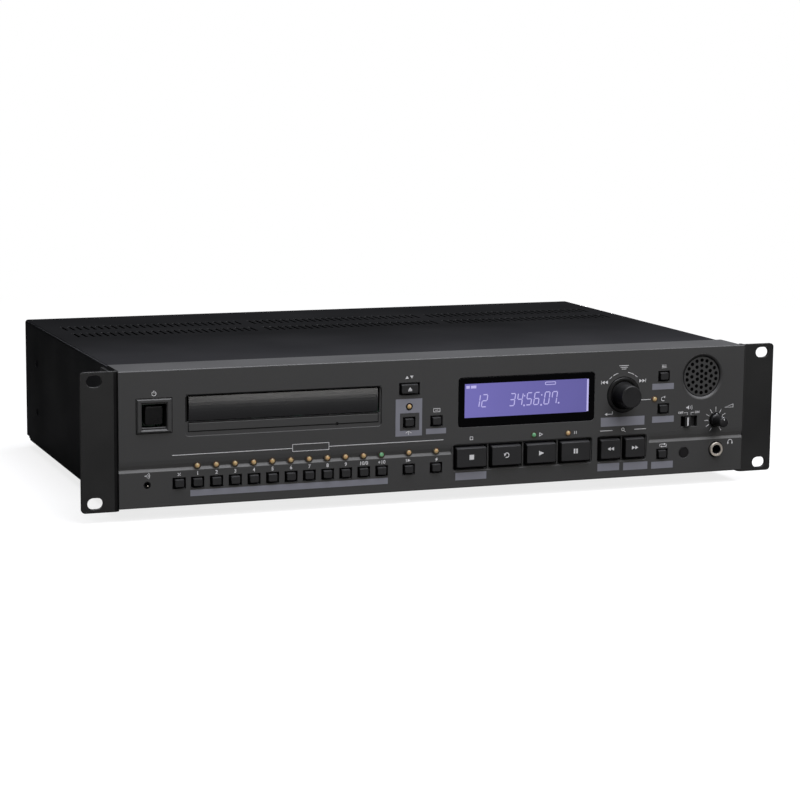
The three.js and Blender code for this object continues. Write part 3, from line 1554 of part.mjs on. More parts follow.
function turntable() {
  const flangeZ = discPlaneZ - turntableFlange;
  const profile = [
    [0, deckTopZ + fit], [spindleRadius, deckTopZ + fit], [spindleRadius, flangeZ],
    [turntableRadius, flangeZ],
    [turntableRadius, discPlaneZ], [hubRadius, discPlaneZ], [hubRadius - fit, discPlaneZ + half(hubHeight)],
    [half(hubRadius), discPlaneZ + hubHeight], [0, discPlaneZ + hubHeight],
  ];
  return turnedUp(profile, trayX, spindleY, medium);
}

function pickupSled() {
  const [y0, y1] = [sledY - half(sledLength), sledY + half(sledLength)];
  const bottomZ = railZ - half(sledHeight);
  const topZ = railZ + half(sledHeight);
  const carriage = box(trayX - half(sledWidth), trayX + half(sledWidth), y0, y1, bottomZ, topZ);
  const tower = plate(
    rectangle(trayX, topZ + half(lensTowerHeight) - overrun, lensTowerWidth, lensTowerHeight + 2 * overrun),
    sledY - half(lensTowerLength), sledY + half(lensTowerLength),
  );
  const lens = rodUp(lensRadius, trayX, sledY, topZ, topZ + lensTowerHeight + lensHeight, medium);
  const bores = [-1, 1].map((side) => rodBack(
    railRadius + fit, trayX + side * half(railSpacing), railZ, y0 - overrun, y1 + overrun, medium,
  ));
  return cut(join(carriage, tower, lens), bores);
}

// The assembly

function build() {
  piece('front_bezel', frontBezel(), 'frontPaint');
  piece('rack_ear_left', rackEar(-1), 'blackPaint');
  piece('rack_ear_right', rackEar(1), 'blackPaint');
  piece('top_cover', topCover(), 'coverPaint');
  piece('base_chassis', baseChassis(), 'blackPaint');
  piece('rear_panel', rearPanel(), 'blackPaint');
  const footX = bodyHalf - footInset;
  const rearFootY = bodyDepth - rearFootFromRear;
  piece('foot_front_left', foot(-footX, frontFootY), 'rubber');
  piece('foot_front_right', foot(footX, frontFootY), 'rubber');
  piece('foot_rear_left', foot(-footX, rearFootY), 'rubber');
  piece('foot_rear_right', foot(footX, rearFootY), 'rubber');
  for (const key of keys) {
    piece(key.name, keyBody(key), 'keyPlastic');
  }
  piece('power_button', powerButton(), 'keyPlastic');
  piece('power_frame', powerFrame(), 'frontPaint');
  piece('display_window', displayWindow(), 'glossPlastic');
  piece('lcd_module', lcdModule(), 'lcd');
  piece('jog_dial', jogDial(), 'keyPlastic');
  piece('encoder_shaft', encoderShaft(), 'steel');
  piece('level_knob', levelKnob(), 'blackPlastic');
  piece('speaker_switch', switchSlider(), 'blackPlastic');
  piece('speaker_driver', speakerDriver(), 'blackPlastic');
  piece('phones_jack', phonesJack(), 'chrome');
  piece('ir_window', irWindow(), 'glossPlastic');
  piece('front_board', frontBoard(), 'board');
  piece('tray_door', trayDoor(), 'glossPlastic');
  piece('disc_tray', discTray(), 'trayPlastic');
  piece('loader_frame', loaderFrame(), 'blackPlastic');
  piece('clamp_bridge', clampBridge(), 'steel');
  piece('disc_clamp', discClamp(), 'gearPlastic');
  piece('loading_gear', loadingGear(), 'gearPlastic');
  piece('traverse_deck', traverseDeck(), 'steel');
  piece('turntable', turntable(), 'gearPlastic');
  piece('pickup_sled', pickupSled(), 'blackPlastic');
  piece('main_board', mainBoard(), 'board');
  piece('power_supply', powerSupply(), 'board');
  piece('ac_inlet', acInlet(), 'blackPlastic');
}

build();

const frontReach = faceY - jogProud;
const rearReach = rearPanelY + rearSheet + rcaProud;
player.position.set(0, -half(frontReach + rearReach), footHeight - earBottomZ);

export default player;
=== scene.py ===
"""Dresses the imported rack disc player: paint, prints, lamps, display, knobs, sockets and stage."""

import math

import bmesh
import bpy
from bpy.props import FloatProperty, FloatVectorProperty, IntProperty, PointerProperty
from mathutils import Matrix, Vector


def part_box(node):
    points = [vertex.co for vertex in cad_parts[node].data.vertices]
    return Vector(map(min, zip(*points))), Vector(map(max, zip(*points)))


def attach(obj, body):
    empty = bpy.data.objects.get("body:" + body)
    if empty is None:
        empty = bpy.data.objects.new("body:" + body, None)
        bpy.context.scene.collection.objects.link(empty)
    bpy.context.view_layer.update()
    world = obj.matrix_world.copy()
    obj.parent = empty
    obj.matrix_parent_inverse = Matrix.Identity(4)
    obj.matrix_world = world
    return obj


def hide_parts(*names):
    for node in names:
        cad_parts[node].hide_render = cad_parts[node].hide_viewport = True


bl_info = {
    "name": "Rack Disc Player",
    "version": (1, 0, 0),
    "blender": (4, 5, 0),
    "location": "View3D > Sidebar > Disc Player",
    "description": "Paint, prints, lamps, display, knobs, sockets and stage for a rack disc player",
    "category": "Object",
}

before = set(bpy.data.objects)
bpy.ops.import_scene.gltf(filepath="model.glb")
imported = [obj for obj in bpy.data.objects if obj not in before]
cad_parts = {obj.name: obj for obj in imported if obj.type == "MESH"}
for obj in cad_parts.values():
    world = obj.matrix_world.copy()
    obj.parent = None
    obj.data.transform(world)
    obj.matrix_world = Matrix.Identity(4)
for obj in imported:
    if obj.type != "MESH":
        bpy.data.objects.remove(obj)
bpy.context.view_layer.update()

MM = 0.001
PRINT = 0.05


def linear(code):
    """Turns an sRGB hex value into linear red, green and blue."""
    parts = [int(code[i : i + 2], 16) / 255 for i in (1, 3, 5)]
    return tuple(c / 12.92 if c <= 0.04045 else ((c + 0.055) / 1.055) ** 2.4 for c in parts)


def place(origin, across, up, out):
    """A matrix that turns millimetres across, up and out of a face into the object's metres."""
    made = Matrix.Identity(4)
    for column, direction in enumerate((across, up, out)):
        for row in range(3):
            made[row][column] = direction[row] * MM
    made.translation = origin
    return made


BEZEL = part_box("front_bezel")
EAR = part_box("rack_ear_left")
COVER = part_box("top_cover")
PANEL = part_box("rear_panel")
AXIS_Z = (EAR[0].z + EAR[1].z) / 2
BODY_Y = (COVER[0].y + COVER[1].y) / 2
FRONT = place((0, BEZEL[0].y, AXIS_Z), (1, 0, 0), (0, 0, 1), (0, -1, 0))
REAR = place((0, PANEL[1].y, AXIS_Z), (-1, 0, 0), (0, 0, 1), (0, 1, 0))
LEFT = place((COVER[0].x, BODY_Y, AXIS_Z), (0, -1, 0), (0, 0, 1), (-1, 0, 0))
RIGHT = place((COVER[1].x, BODY_Y, AXIS_Z), (0, 1, 0), (0, 0, 1), (1, 0, 0))
UNDER = place((0, 0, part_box("base_chassis")[0].z), (1, 0, 0), (0, -1, 0), (0, 0, -1))


# Sizes and colours that a user would change


def length(name, description, default, low, high):
    return FloatProperty(name=name, description=description + ", in millimetres", default=default, min=low, max=high)


def tint(name, description, code):
    return FloatVectorProperty(name=name, description=description, subtype="COLOR", default=linear(code))


def angle(name, description, degrees):
    return FloatProperty(name=name, description=description, default=math.radians(degrees), unit="ROTATION")


def power(name, description, watts):
    return FloatProperty(name=name, description=f"Power of the {description}, in watts", default=watts)


class PlayerSizes(bpy.types.PropertyGroup):
    """Sizes of the printed and fitted details."""

    legend_line: length("Legend line", "Width of the printed lines", 0.38, 0.1, 1)
    number_height: length("Number height", "Height of the numbers at the keys", 2.4, 1, 4)
    sign_height: length("Key sign height", "Height of the signs on the wide keys", 3.2, 1, 6)
    lamp_radius: length("Lamp radius", "Radius of the lamp domes", 1.6, 1, 3)
    lamp_rise: length("Lamp rise", "How far a lamp dome stands out", 0.75, 0.6, 2)
    level_marks: IntProperty(
        name="Level marks", description="Number of marks round the level knob", default=11, min=3, max=21
    )
    edge_softness: FloatProperty(
        name="Edge softness", description="Radius that the mouldings' edges catch light with", default=0.3 * MM,
        min=0, max=0.002, unit="LENGTH",
    )


class PlayerColours(bpy.types.PropertyGroup):
    """Colours of the finishes."""

    front_paint: tint("Front paint", "Grey of the front bezel", "#3b3b3b")
    cover_paint: tint("Cover paint", "Black of the cover", "#0d0d0e")
    ear_paint: tint("Ear paint", "Black of the rack ears", "#1f1f1f")
    key_plastic: tint("Key plastic", "Black of the keys", "#252526")
    legend_ink: tint("Legend ink", "Pale grey of the prints", "#d0d0d2")
    panel_ink: tint("Panel ink", "Blue-grey of the filled boxes", "#797a83")
    amber_lamp: tint("Amber lamp", "Colour of the amber lamps", "#b59a70")
    green_lamp: tint("Green lamp", "Colour of the green lamps", "#6a9f76")
    display_glow: tint("Display glow", "Violet of the lit display", "#6a65a8")


class PlayerStage(bpy.types.PropertyGroup):
    """The camera and lights round the player."""

    azimuth: angle("Azimuth", "How far the camera looks to the right of straight on", 20.905)
    elevation: angle("Elevation", "How far the camera looks down", 8.886)
    roll: angle("Roll", "How far the camera leans", 0.542)
    lens: FloatProperty(name="Lens", description="Focal length in millimetres", default=102.53, min=10)
    spot: FloatVectorProperty(
        name="Camera place", description="Where the camera stands", subtype="TRANSLATION", unit="LENGTH",
        default=(-0.549295, -1.492929, 0.294507),
    )
    top_light: power("Top light", "light overhead", 86)
    front_light: power("Front light", "light in front", 26)
    door_light: power("Door light", "low light that the tray's door mirrors", 3.6)
    back_light: power("Back light", "low light behind", 13)
    right_light: power("Right light", "low light at the right side", 9)


GROUPS = {"player_sizes": PlayerSizes, "player_colours": PlayerColours, "player_stage": PlayerStage}


def sizes():
    return bpy.context.scene.player_sizes


def colours():
    return bpy.context.scene.player_colours


# Outlines in millimetres


def rectangle(u, v, width, height):
    w, h = width / 2, height / 2
    return [(u - w, v - h), (u + w, v - h), (u + w, v + h), (u - w, v + h)]


def span(u0, u1, v0, v1):
    return [(u0, v0), (u1, v0), (u1, v1), (u0, v1)]


def arc(u, v, radius, start, end, steps):
    """Points on an arc, with its angles in degrees from the right, anticlockwise."""
    turns = [math.radians(start + (end - start) * i / steps) for i in range(steps + 1)]
    return [(u + radius * math.cos(a), v + radius * math.sin(a)) for a in turns]


def circle(u, v, radius, steps=32):
    return arc(u, v, radius, 0, 360, steps)[:-1]


def rounded(u, v, width, height, radius, steps=5):
    w, h = width / 2 - radius, height / 2 - radius
    corners = [(u + w, v + h, 0), (u - w, v + h, 90), (u - w, v - h, 180), (u + w, v - h, 270)]
    return [p for cu, cv, a in corners for p in arc(cu, cv, radius, a, a + 90, steps)]


def slanted(u, v, width, height):
    """A box whose lower edge is drawn in at both ends, as a data socket's is."""
    w, h, slant = width / 2, height / 2, 1.4
    return [(u - w + slant, v - h), (u + w - slant, v - h), (u + w, v + h), (u - w, v + h)]


def triangle(u, v, width, height, turn=0):
    """A triangle that points right, turned anticlockwise in degrees about its middle."""
    points = [(-width / 2, -height / 2), (width / 2, 0), (-width / 2, height / 2)]
    c, s = math.cos(math.radians(turn)), math.sin(math.radians(turn))
    return [(u + x * c - y * s, v + x * s + y * c) for x, y in points]


# Mesh made in a face's own millimetres


def loft(bm, levels, where, slot=0, ring=False):
    """Joins outlines at their heights into a skin: a closed block, or a ring with a hole through it."""
    rows = [[bm.verts.new(where @ Vector((u, v, w))) for u, v in outline] for outline, w in levels]
    count = len(rows[0])
    faces = [] if ring else [rows[0][::-1], rows[-1]]
    for one, two in zip(rows, rows[1:] + rows[:1] if ring else rows[1:]):
        faces += [[one[i], one[(i + 1) % count], two[(i + 1) % count], two[i]] for i in range(count)]
    for face in faces:
        bm.faces.new(face).material_index = slot


def prism(bm, outline, low, high, where, slot=0):
    """Adds a plate with that outline, from low to high above the face."""
    loft(bm, [(outline, low), (outline, high)], where, slot)


def stroke(bm, points, width, low, high, where, closed=False):
    """Adds a line of even width through the points, mitred where it turns."""
    count = len(points)
    sides = []
    for i, (u, v) in enumerate(points):
        before = points[i - 1] if i or closed else None
        after = points[(i + 1) % count] if i < count - 1 or closed else None
        steps = [Vector(b) - Vector(a) for a, b in ((before, (u, v)), ((u, v), after)) if a and b]
        normals = [Vector((-s.y, s.x)).normalized() for s in steps]
        across = sum(normals, Vector((0, 0))).normalized()
        reach = width / 2 / max(0.35, across.dot(normals[0]))
        sides.append((Vector((u, v)) + across * reach, Vector((u, v)) - across * reach))
    rows = [
        [bm.verts.new(where @ Vector((p.x, p.y, w))) for p, w in ((a, low), (b, low), (b, high), (a, high))]
        for a, b in sides
    ]
    for i in range(count if closed else count - 1):
        one, two = rows[i], rows[(i + 1) % count]
        for k in range(4):
            bm.faces.new([one[k], one[(k + 1) % 4], two[(k + 1) % 4], two[k]])
    if not closed:
        bm.faces.new(rows[0])
        bm.faces.new(rows[-1][::-1])


def turned(bm, profile, u, v, where, sides=48, slot=0):
    """Adds a solid of revolution round the face's out direction, from pairs of radius and height."""
    rings = []
    for radius, height in profile:
        if radius == 0:
            rings.append([bm.verts.new(where @ Vector((u, v, height)))])
        else:
            rings.append([bm.verts.new(where @ Vector((x, y, height))) for x, y in circle(u, v, radius, sides)])
    for one, two in zip(rings, rings[1:]):
        for i in range(sides):
            a, b = one[i % len(one)], one[(i + 1) % len(one)]
            c, d = two[(i + 1) % len(two)], two[i % len(two)]
            corners = list(dict.fromkeys((a, b, c, d)))
            if len(corners) > 2:
                bm.faces.new(corners).material_index = slot
    for ring in (rings[0], rings[-1]):
        if len(ring) > 1 and profile[0] != profile[-1]:
            bm.faces.new(ring).material_index = slot


def ink(bm, outline, where=FRONT, low=0.0):
    """Prints a filled outline on a face, at that height above it."""
    prism(bm, outline, low, low + PRINT, where)


def ink_line(bm, points, width, where=FRONT, low=0.0, closed=False):
    """Prints a line on a face, at that height above it."""
    stroke(bm, points, width, low, low + PRINT, where, closed=closed)


def tube(bm, u, v, inner, outer, low, high, slot=0, sides=48, where=REAR):
    """Adds a tube that stands on a face."""
    profile = [(inner, low), (inner, high), (outer, high), (outer, low)]
    turned(bm, profile + profile[:1], u, v, where, sides, slot)


def eased_end(radius, high, ease):
    """The profile points of a turned end, rounded by that much outside the radius of its flat."""
    turns = [math.radians(a) for a in (30, 60, 90)]
    return [(radius + ease * math.cos(a), high - ease + ease * math.sin(a)) for a in turns]


def disc(bm, u, v, radius, low, high, where, sides=20, slot=0):
    """Adds a thin round plate."""
    turned(bm, [(0, low), (radius, low), (radius, high), (0, high)], u, v, where, sides, slot)


def pin(bm, u, v, radius, low, high):
    """Adds a round pin with an eased tip, that points out of the back."""
    ease = radius * 0.4
    turned(bm, [(0, low), (radius, low), (radius, high - ease), (radius - ease, high), (0, high)], u, v, REAR, 16)


def screw_head(bm, u, v, where, radius, rise):
    """Adds a domed screw head, with its cross recess drawn as a black cross of painted shade."""
    dome = [(radius * math.cos(math.radians(a)), rise * math.sin(math.radians(a))) for a in (0, 20, 40, 58)]
    turned(bm, [(radius * 0.98, -0.05)] + dome + [(0.0, rise * 0.86)], u, v, where, 28)
    long, short = radius, radius * 0.2
    for width, height in ((long, short), (short, long)):
        prism(bm, rectangle(u, v, width, height), rise * 0.5, rise * 0.885, where, slot=1)


def figures(bm, text, u, v, height, where):
    """Prints figures of that cap height, centred on a point."""
    curve = bpy.data.curves.new("figures", "FONT")
    curve.body = text
    curve.size = height / 0.73
    curve.align_x = "CENTER"
    curve.align_y = "CENTER"
    curve.extrude = PRINT / 2
    curve.resolution_u = 3
    curve.offset = height * 0.02
    holder = bpy.data.objects.new("figures", curve)
    bpy.context.scene.collection.objects.link(holder)
    mesh = bpy.data.meshes.new_from_object(holder.evaluated_get(bpy.context.evaluated_depsgraph_get()))
    mesh.transform(where @ Matrix.Translation((u, v, PRINT / 2)))
    bm.from_mesh(mesh)
    bpy.data.objects.remove(holder)
    bpy.data.curves.remove(curve)
    bpy.data.meshes.remove(mesh)


def add_piece(name, bm, finishes, body="housing", smooth=0):
    """Makes a piece of the mesh, gives it its finishes, whose names have spaces between, and fixes it to its body."""
    bmesh.ops.recalc_face_normals(bm, faces=bm.faces)
    mesh = bpy.data.meshes.new(name)
    bm.to_mesh(mesh)
    bm.free()
    for name_of_finish in finishes.split():
        mesh.materials.append(finish(name_of_finish))
    if smooth:
        mesh.shade_smooth()
        mesh.set_sharp_from_angle(angle=math.radians(smooth))
    piece = bpy.data.objects.new(name, mesh)
    bpy.context.scene.collection.objects.link(piece)
    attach(piece, body)
    return piece


# Materials


def put(tree, kind, settings=(), links=()):
    """Adds a node with its settings and links."""
    node = tree.nodes.new("ShaderNode" + kind)
    for key, value in dict(settings).items():
        if isinstance(key, int) or key in node.inputs:
            node.inputs[key].default_value = value
        else:
            setattr(node, key, value)
    for key, source in dict(links).items():
        tree.links.new(source, node.inputs[key])
    return node


def begin(name, colour, roughness, **sockets):
    """Starts a material with a principled shader, whose constant values sit on its own sockets."""
    material = bpy.data.materials.new(name)
    material.use_nodes = True
    tree = material.node_tree
    tree.nodes.clear()
    values = {"Base Color": (*colour, 1), "Roughness": roughness}
    values.update({key.replace("_", " "): value for key, value in sockets.items()})
    shader = put(tree, "BsdfPrincipled", values)
    put(tree, "OutputMaterial", links={"Surface": shader.outputs[0]})
    return material, tree, shader


def surface(
    tree, shader, colour, roughness, grain, depth, patch=30, tone=0.1, polish=0.06, soft=0.0, stretch=(1, 1, 1)
):
    """Gives a shader its grain of that size and depth in millimetres, broad patches of tone, and soft edges."""
    where = put(tree, "TexCoord").outputs["Object"]
    stretched = put(tree, "Mapping", {"Scale": stretch}, {"Vector": where}).outputs[0]
    fine = put(tree, "TexNoise", {"Scale": 1 / (grain * MM), "Detail": 3, "Roughness": 0.6}, {"Vector": stretched})
    broad = put(tree, "TexNoise", {"Scale": 1 / (patch * MM), "Detail": 2}, {"Vector": where})
    dark = [c * (1 - tone) for c in colour]
    light = [min(1, c * (1 + tone)) for c in colour]
    # A mix of colours has its share at socket 0, its two colours at 6 and 7, and its result at output 2.
    shade = put(tree, "Mix", {"data_type": "RGBA", 6: (*dark, 1), 7: (*light, 1)}, {0: broad.outputs["Fac"]})
    ends = {"From Min": 0.3, "From Max": 0.7, "To Min": roughness - polish, "To Max": roughness + polish}
    lift = put(tree, "MapRange", ends, {"Value": broad.outputs["Fac"]})
    bump = put(tree, "Bump", {"Strength": 1, "Distance": depth * MM}, {"Height": fine.outputs["Fac"]})
    if soft:
        edge = put(tree, "Bevel", {"Radius": soft * MM, "samples": 4})
        tree.links.new(edge.outputs[0], bump.inputs["Normal"])
    tree.links.new(shade.outputs[2], shader.inputs["Base Color"])
    tree.links.new(lift.outputs[0], shader.inputs["Roughness"])
    tree.links.new(bump.outputs[0], shader.inputs["Normal"])


def parts_of(tree, output):
    """The three parts of a texture coordinate in the object's own frame: its Object place or its Normal."""
    return put(tree, "SeparateXYZ", links={"Vector": put(tree, "TexCoord").outputs[output]}).outputs


def steepness(tree, axis):
    """How much a surface faces along an axis, either way."""
    return put(tree, "Math", {"operation": "ABSOLUTE"}, {0: parts_of(tree, "Normal")[axis]}).outputs[0]


def tint_where(tree, shader, colour, share, *limits):
    """Turns the colour to that share of itself where each measure, from its low to its high limit, says so."""
    base = shader.inputs["Base Color"].links[0].from_socket
    reach = None
    for measure, low, high in limits:
        end = put(tree, "MapRange", {"From Min": low, "From Max": high}, {"Value": measure}).outputs[0]
        reach = end if reach is None else put(tree, "Math", {"operation": "MULTIPLY"}, {0: reach, 1: end}).outputs[0]
    toned = (*[c * share for c in colour], 1)
    mixed = put(tree, "MixRGB", {"Color2": toned}, {"Fac": reach, "Color1": base})
    tree.links.new(mixed.outputs[0], shader.inputs["Base Color"])


def rub_edges(tree, shader, radius, colour, share, lowest=-2.0):
    """Paints highlights on the sharp edges that face up at least that much: paler over that many millimetres, standing
    for where a lamp overhead would catch them.
    """
    base = shader.inputs["Base Color"].links[0].from_socket
    eased = put(tree, "Bevel", {"Radius": radius * MM, "samples": 6})
    flat = put(tree, "NewGeometry")
    turn = put(tree, "VectorMath", {"operation": "DOT_PRODUCT"}, {0: eased.outputs[0], 1: flat.outputs["Normal"]})
    ends = {"From Min": 0.995, "From Max": 0.85, "To Max": share}
    edge = put(tree, "MapRange", ends, {"Value": turn.outputs["Value"]})
    facing = put(tree, "SeparateXYZ", links={"Vector": eased.outputs[0]})
    upward = put(tree, "MapRange", {"From Min": lowest, "From Max": lowest + 0.2}, {"Value": facing.outputs["Z"]})
    both = put(tree, "Math", {"operation": "MULTIPLY"}, {0: edge.outputs[0], 1: upward.outputs[0]})
    mixed = put(tree, "MixRGB", {"Color2": (*colour, 1)}, {"Fac": both.outputs[0], "Color1": base})
    tree.links.new(mixed.outputs[0], shader.inputs["Base Color"])


def plain(code, roughness, grain, depth, sockets, **skin):
    """A maker for a finish without special features, whose colour is a hex value or a named colour of the player."""

    def make(name):
        colour = linear(code) if code.startswith("#") else tuple(getattr(colours(), code))
        material, tree, shader = begin(name, colour, roughness, **sockets)
        surface(tree, shader, colour, roughness, grain, depth, **skin)
        return material

    return make


def bezel_enamel(name):
    colour = tuple(colours().front_paint)
    material, tree, shader = begin(name, colour, 0.55, IOR=1.5, Specular_IOR_Level=0.35)
    surface(tree, shader, colour, 0.55, 0.5, 0.008, patch=60, tone=0.05, soft=0.5)
    # Painted light: the upward slopes are drawn paler than the flats, as if lit from above, and the downward face in
    # the groove is drawn paler, as if lit into its shade.
    facing = parts_of(tree, "Normal")["Z"]
    height = parts_of(tree, "Object")["Z"]
    tint_where(tree, shader, colour, 1.8, (facing, 0.3, 0.5), (facing, 0.95, 0.8))
    groove = (height, AXIS_Z - 10 * MM, AXIS_Z - 13 * MM)
    tint_where(tree, shader, colour, 1.7, (facing, -0.03, -0.3), groove)
    # Painted highlights on the sharp edges that face upwards, such as the crease of the top band.
    rub_edges(tree, shader, 0.4, [c * 3 for c in colour], 0.5, 0.15)
    return material


def powder_coat(name):
    colour = tuple(colours().cover_paint)
    material, tree, shader = begin(name, colour, 0.42, IOR=1.5, Specular_IOR_Level=0.14)
    surface(tree, shader, colour, 0.42, 0.7, 0.012, patch=70, tone=0.08, soft=0.6)
    # Painted light: towards the front, the coat is drawn paler, as the light falls more brightly there.
    tint_where(tree, shader, colour, 3.6, (parts_of(tree, "Object")["Y"], 0.02, COVER[0].y))
    # Painted highlights on the upward sharp edges of the cover and its vents.
    rub_edges(tree, shader, 0.35, linear("#3c3c3c"), 0.4, 0.3)
    return material


def ear_enamel(name):
    colour = tuple(colours().ear_paint)
    material, tree, shader = begin(name, colour, 0.36, IOR=1.5)
    surface(tree, shader, colour, 0.36, 0.6, 0.01, patch=40, tone=0.06, soft=0.5)
    # Painted highlights on the ears' upward sharp edges, such as their tops and the slots' lower edges.
    rub_edges(tree, shader, 0.5, linear("#666666"), 0.7, 0.2)
    return material


def key_abs(name):
    colour = tuple(colours().key_plastic)
    material, tree, shader = begin(name, colour, 0.46, IOR=1.53, Specular_IOR_Level=0.3)
    surface(tree, shader, colour, 0.46, 0.3, 0.01, patch=12, tone=0.08, soft=sizes().edge_softness / MM)
    # Painted shade: the side walls stand in a deep narrow gap, so they are drawn darker, as if no light reached them.
    tint_where(tree, shader, colour, 0.12, (steepness(tree, "X"), 0.35, 0.8))
    return material


def knob_abs(name):
    colour = linear("#212122")
    material, tree, shader = begin(name, colour, 0.36, IOR=1.53, Specular_IOR_Level=0.3)
    surface(tree, shader, colour, 0.36, 0.35, 0.008, patch=9, tone=0.12, soft=0.25)
    # Painted shade: the side is drawn darker than the front, as if less light reached it.
    tint_where(tree, shader, colour, 0.35, (steepness(tree, "Y"), 0.5, 0.15))
    return material


def lamp_lens(colour_name):
    def make(name):
        colour = tuple(getattr(colours(), colour_name))
        # Painted glow: the unlit lens is given a faint light of its own colour. Its sloped sides are drawn darker than
        # its front.
        material, tree, shader = begin(
            name, colour, 0.25, IOR=1.49, Subsurface_Weight=0.3, Subsurface_Scale=0.0008,
            Emission_Color=(*colour, 1), Emission_Strength=0.1,
        )
        surface(tree, shader, colour, 0.25, 0.5, 0.01, patch=1.2, tone=0.18)
        tint_where(tree, shader, colour, 0.3, (steepness(tree, "Y"), 0.95, 0.75))
        return material

    return make


def display_glow(name):
    colour = tuple(colours().display_glow)
    material, tree, shader = begin(
        name, [c * 0.1 for c in colour], 0.3, IOR=1.49, Specular_IOR_Level=0.3, Emission_Strength=0.92
    )
    where = put(tree, "TexCoord").outputs["Object"]
    parts = put(tree, "SeparateXYZ", links={"Vector": where})
    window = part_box("lcd_module")
    ends = {"From Min": window[0].x, "From Max": window[1].x}
    across = put(tree, "MapRange", ends, {"Value": parts.outputs["X"]})
    cloud = put(tree, "TexNoise", {"Scale": 60.0, "Detail": 1.0}, {"Vector": where})
    spread = put(tree, "MixRGB", {"Fac": 0.15}, {"Color1": across.outputs[0], "Color2": cloud.outputs["Fac"]})
    left, right = [min(1, c * 1.2) for c in colour], [c * 0.8 for c in colour]
    glow = put(tree, "MixRGB", {"Color1": (*left, 1), "Color2": (*right, 1)}, {"Fac": spread.outputs[0]})
    tree.links.new(glow.outputs[0], shader.inputs["Emission Color"])
    return material


def display_segment(name):
    colour = linear("#b9b3e6")
    dim = [c * 0.3 for c in colour]
    material, tree, shader = begin(
        name, dim, 0.4, IOR=1.49, Specular_IOR_Level=0.3, Emission_Color=(*colour, 1), Emission_Strength=0.8
    )
    surface(tree, shader, dim, 0.4, 0.5, 0.002, patch=5, tone=0.1)
    return material


def circuit_board(node, axis, side, low, high):
    """A maker for a board between two planes, in millimetres from that side of its node, with black mouldings on it."""

    def make(name):
        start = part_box(node)[side]["XYZ".index(axis)]
        green, black = linear("#1d4a34"), linear("#1a1a1b")
        material, tree, shader = begin(name, green, 0.35, IOR=1.52)
        surface(tree, shader, green, 0.35, 0.8, 0.01, patch=10, tone=0.2)
        shade = shader.inputs["Base Color"].links[0].from_socket
        height = parts_of(tree, "Object")[axis]
        above = put(tree, "Math", {"operation": "GREATER_THAN", 1: start + low * MM}, {0: height})
        below = put(tree, "Math", {"operation": "LESS_THAN", 1: start + high * MM}, {0: height})
        both = put(tree, "Math", {"operation": "MULTIPLY"}, {0: above.outputs[0], 1: below.outputs[0]})
        mixed = put(tree, "MixRGB", {"Color1": (*black, 1)}, {"Fac": both.outputs[0], "Color2": shade})
        tree.links.new(mixed.outputs[0], shader.inputs["Base Color"])
        return material

    return make


def floor_paint(name):
    colour = linear("#f4f4f4")
    material, tree, shader = begin(name, colour, 0.9, IOR=1.4, Specular_IOR_Level=0.2)
    path = put(tree, "LightPath")
    where = put(tree, "TexCoord").outputs["Object"]
    fibre = put(tree, "TexNoise", {"Scale": 400.0, "Detail": 2.0}, {"Vector": where})
    tones = {"Color1": (*linear("#f6f6f6"), 1), "Color2": (*linear("#fafafa"), 1)}
    bright = put(tree, "MixRGB", tones, {"Fac": fibre.outputs["Fac"]})
    seen = {"Fac": path.outputs["Is Camera Ray"], "Color2": bright.outputs[0]}
    both = put(tree, "MixRGB", {"Color1": (*linear("#303030"), 1)}, seen)
    tree.links.new(both.outputs[0], shader.inputs["Base Color"])
    far = put(tree, "VectorMath", {"operation": "LENGTH"}, {0: where})
    sweep = {"From Min": 0.3, "From Max": 1.1, "To Min": 0.8, "To Max": 1.0}
    fade = put(tree, "MapRange", sweep, {"Value": far.outputs["Value"]})
    share = put(tree, "Math", {"operation": "MULTIPLY"}, {0: fade.outputs[0], 1: path.outputs["Is Camera Ray"]})
    glow = put(tree, "Emission", {"Color": (1, 1, 1, 1), "Strength": 1.0})
    mixed = put(tree, "MixShader", links={0: share.outputs[0], 1: shader.outputs[0], 2: glow.outputs[0]})
    output = next(n for n in tree.nodes if n.bl_idname == "ShaderNodeOutputMaterial")
    tree.links.new(mixed.outputs[0], output.inputs["Surface"])
    return material


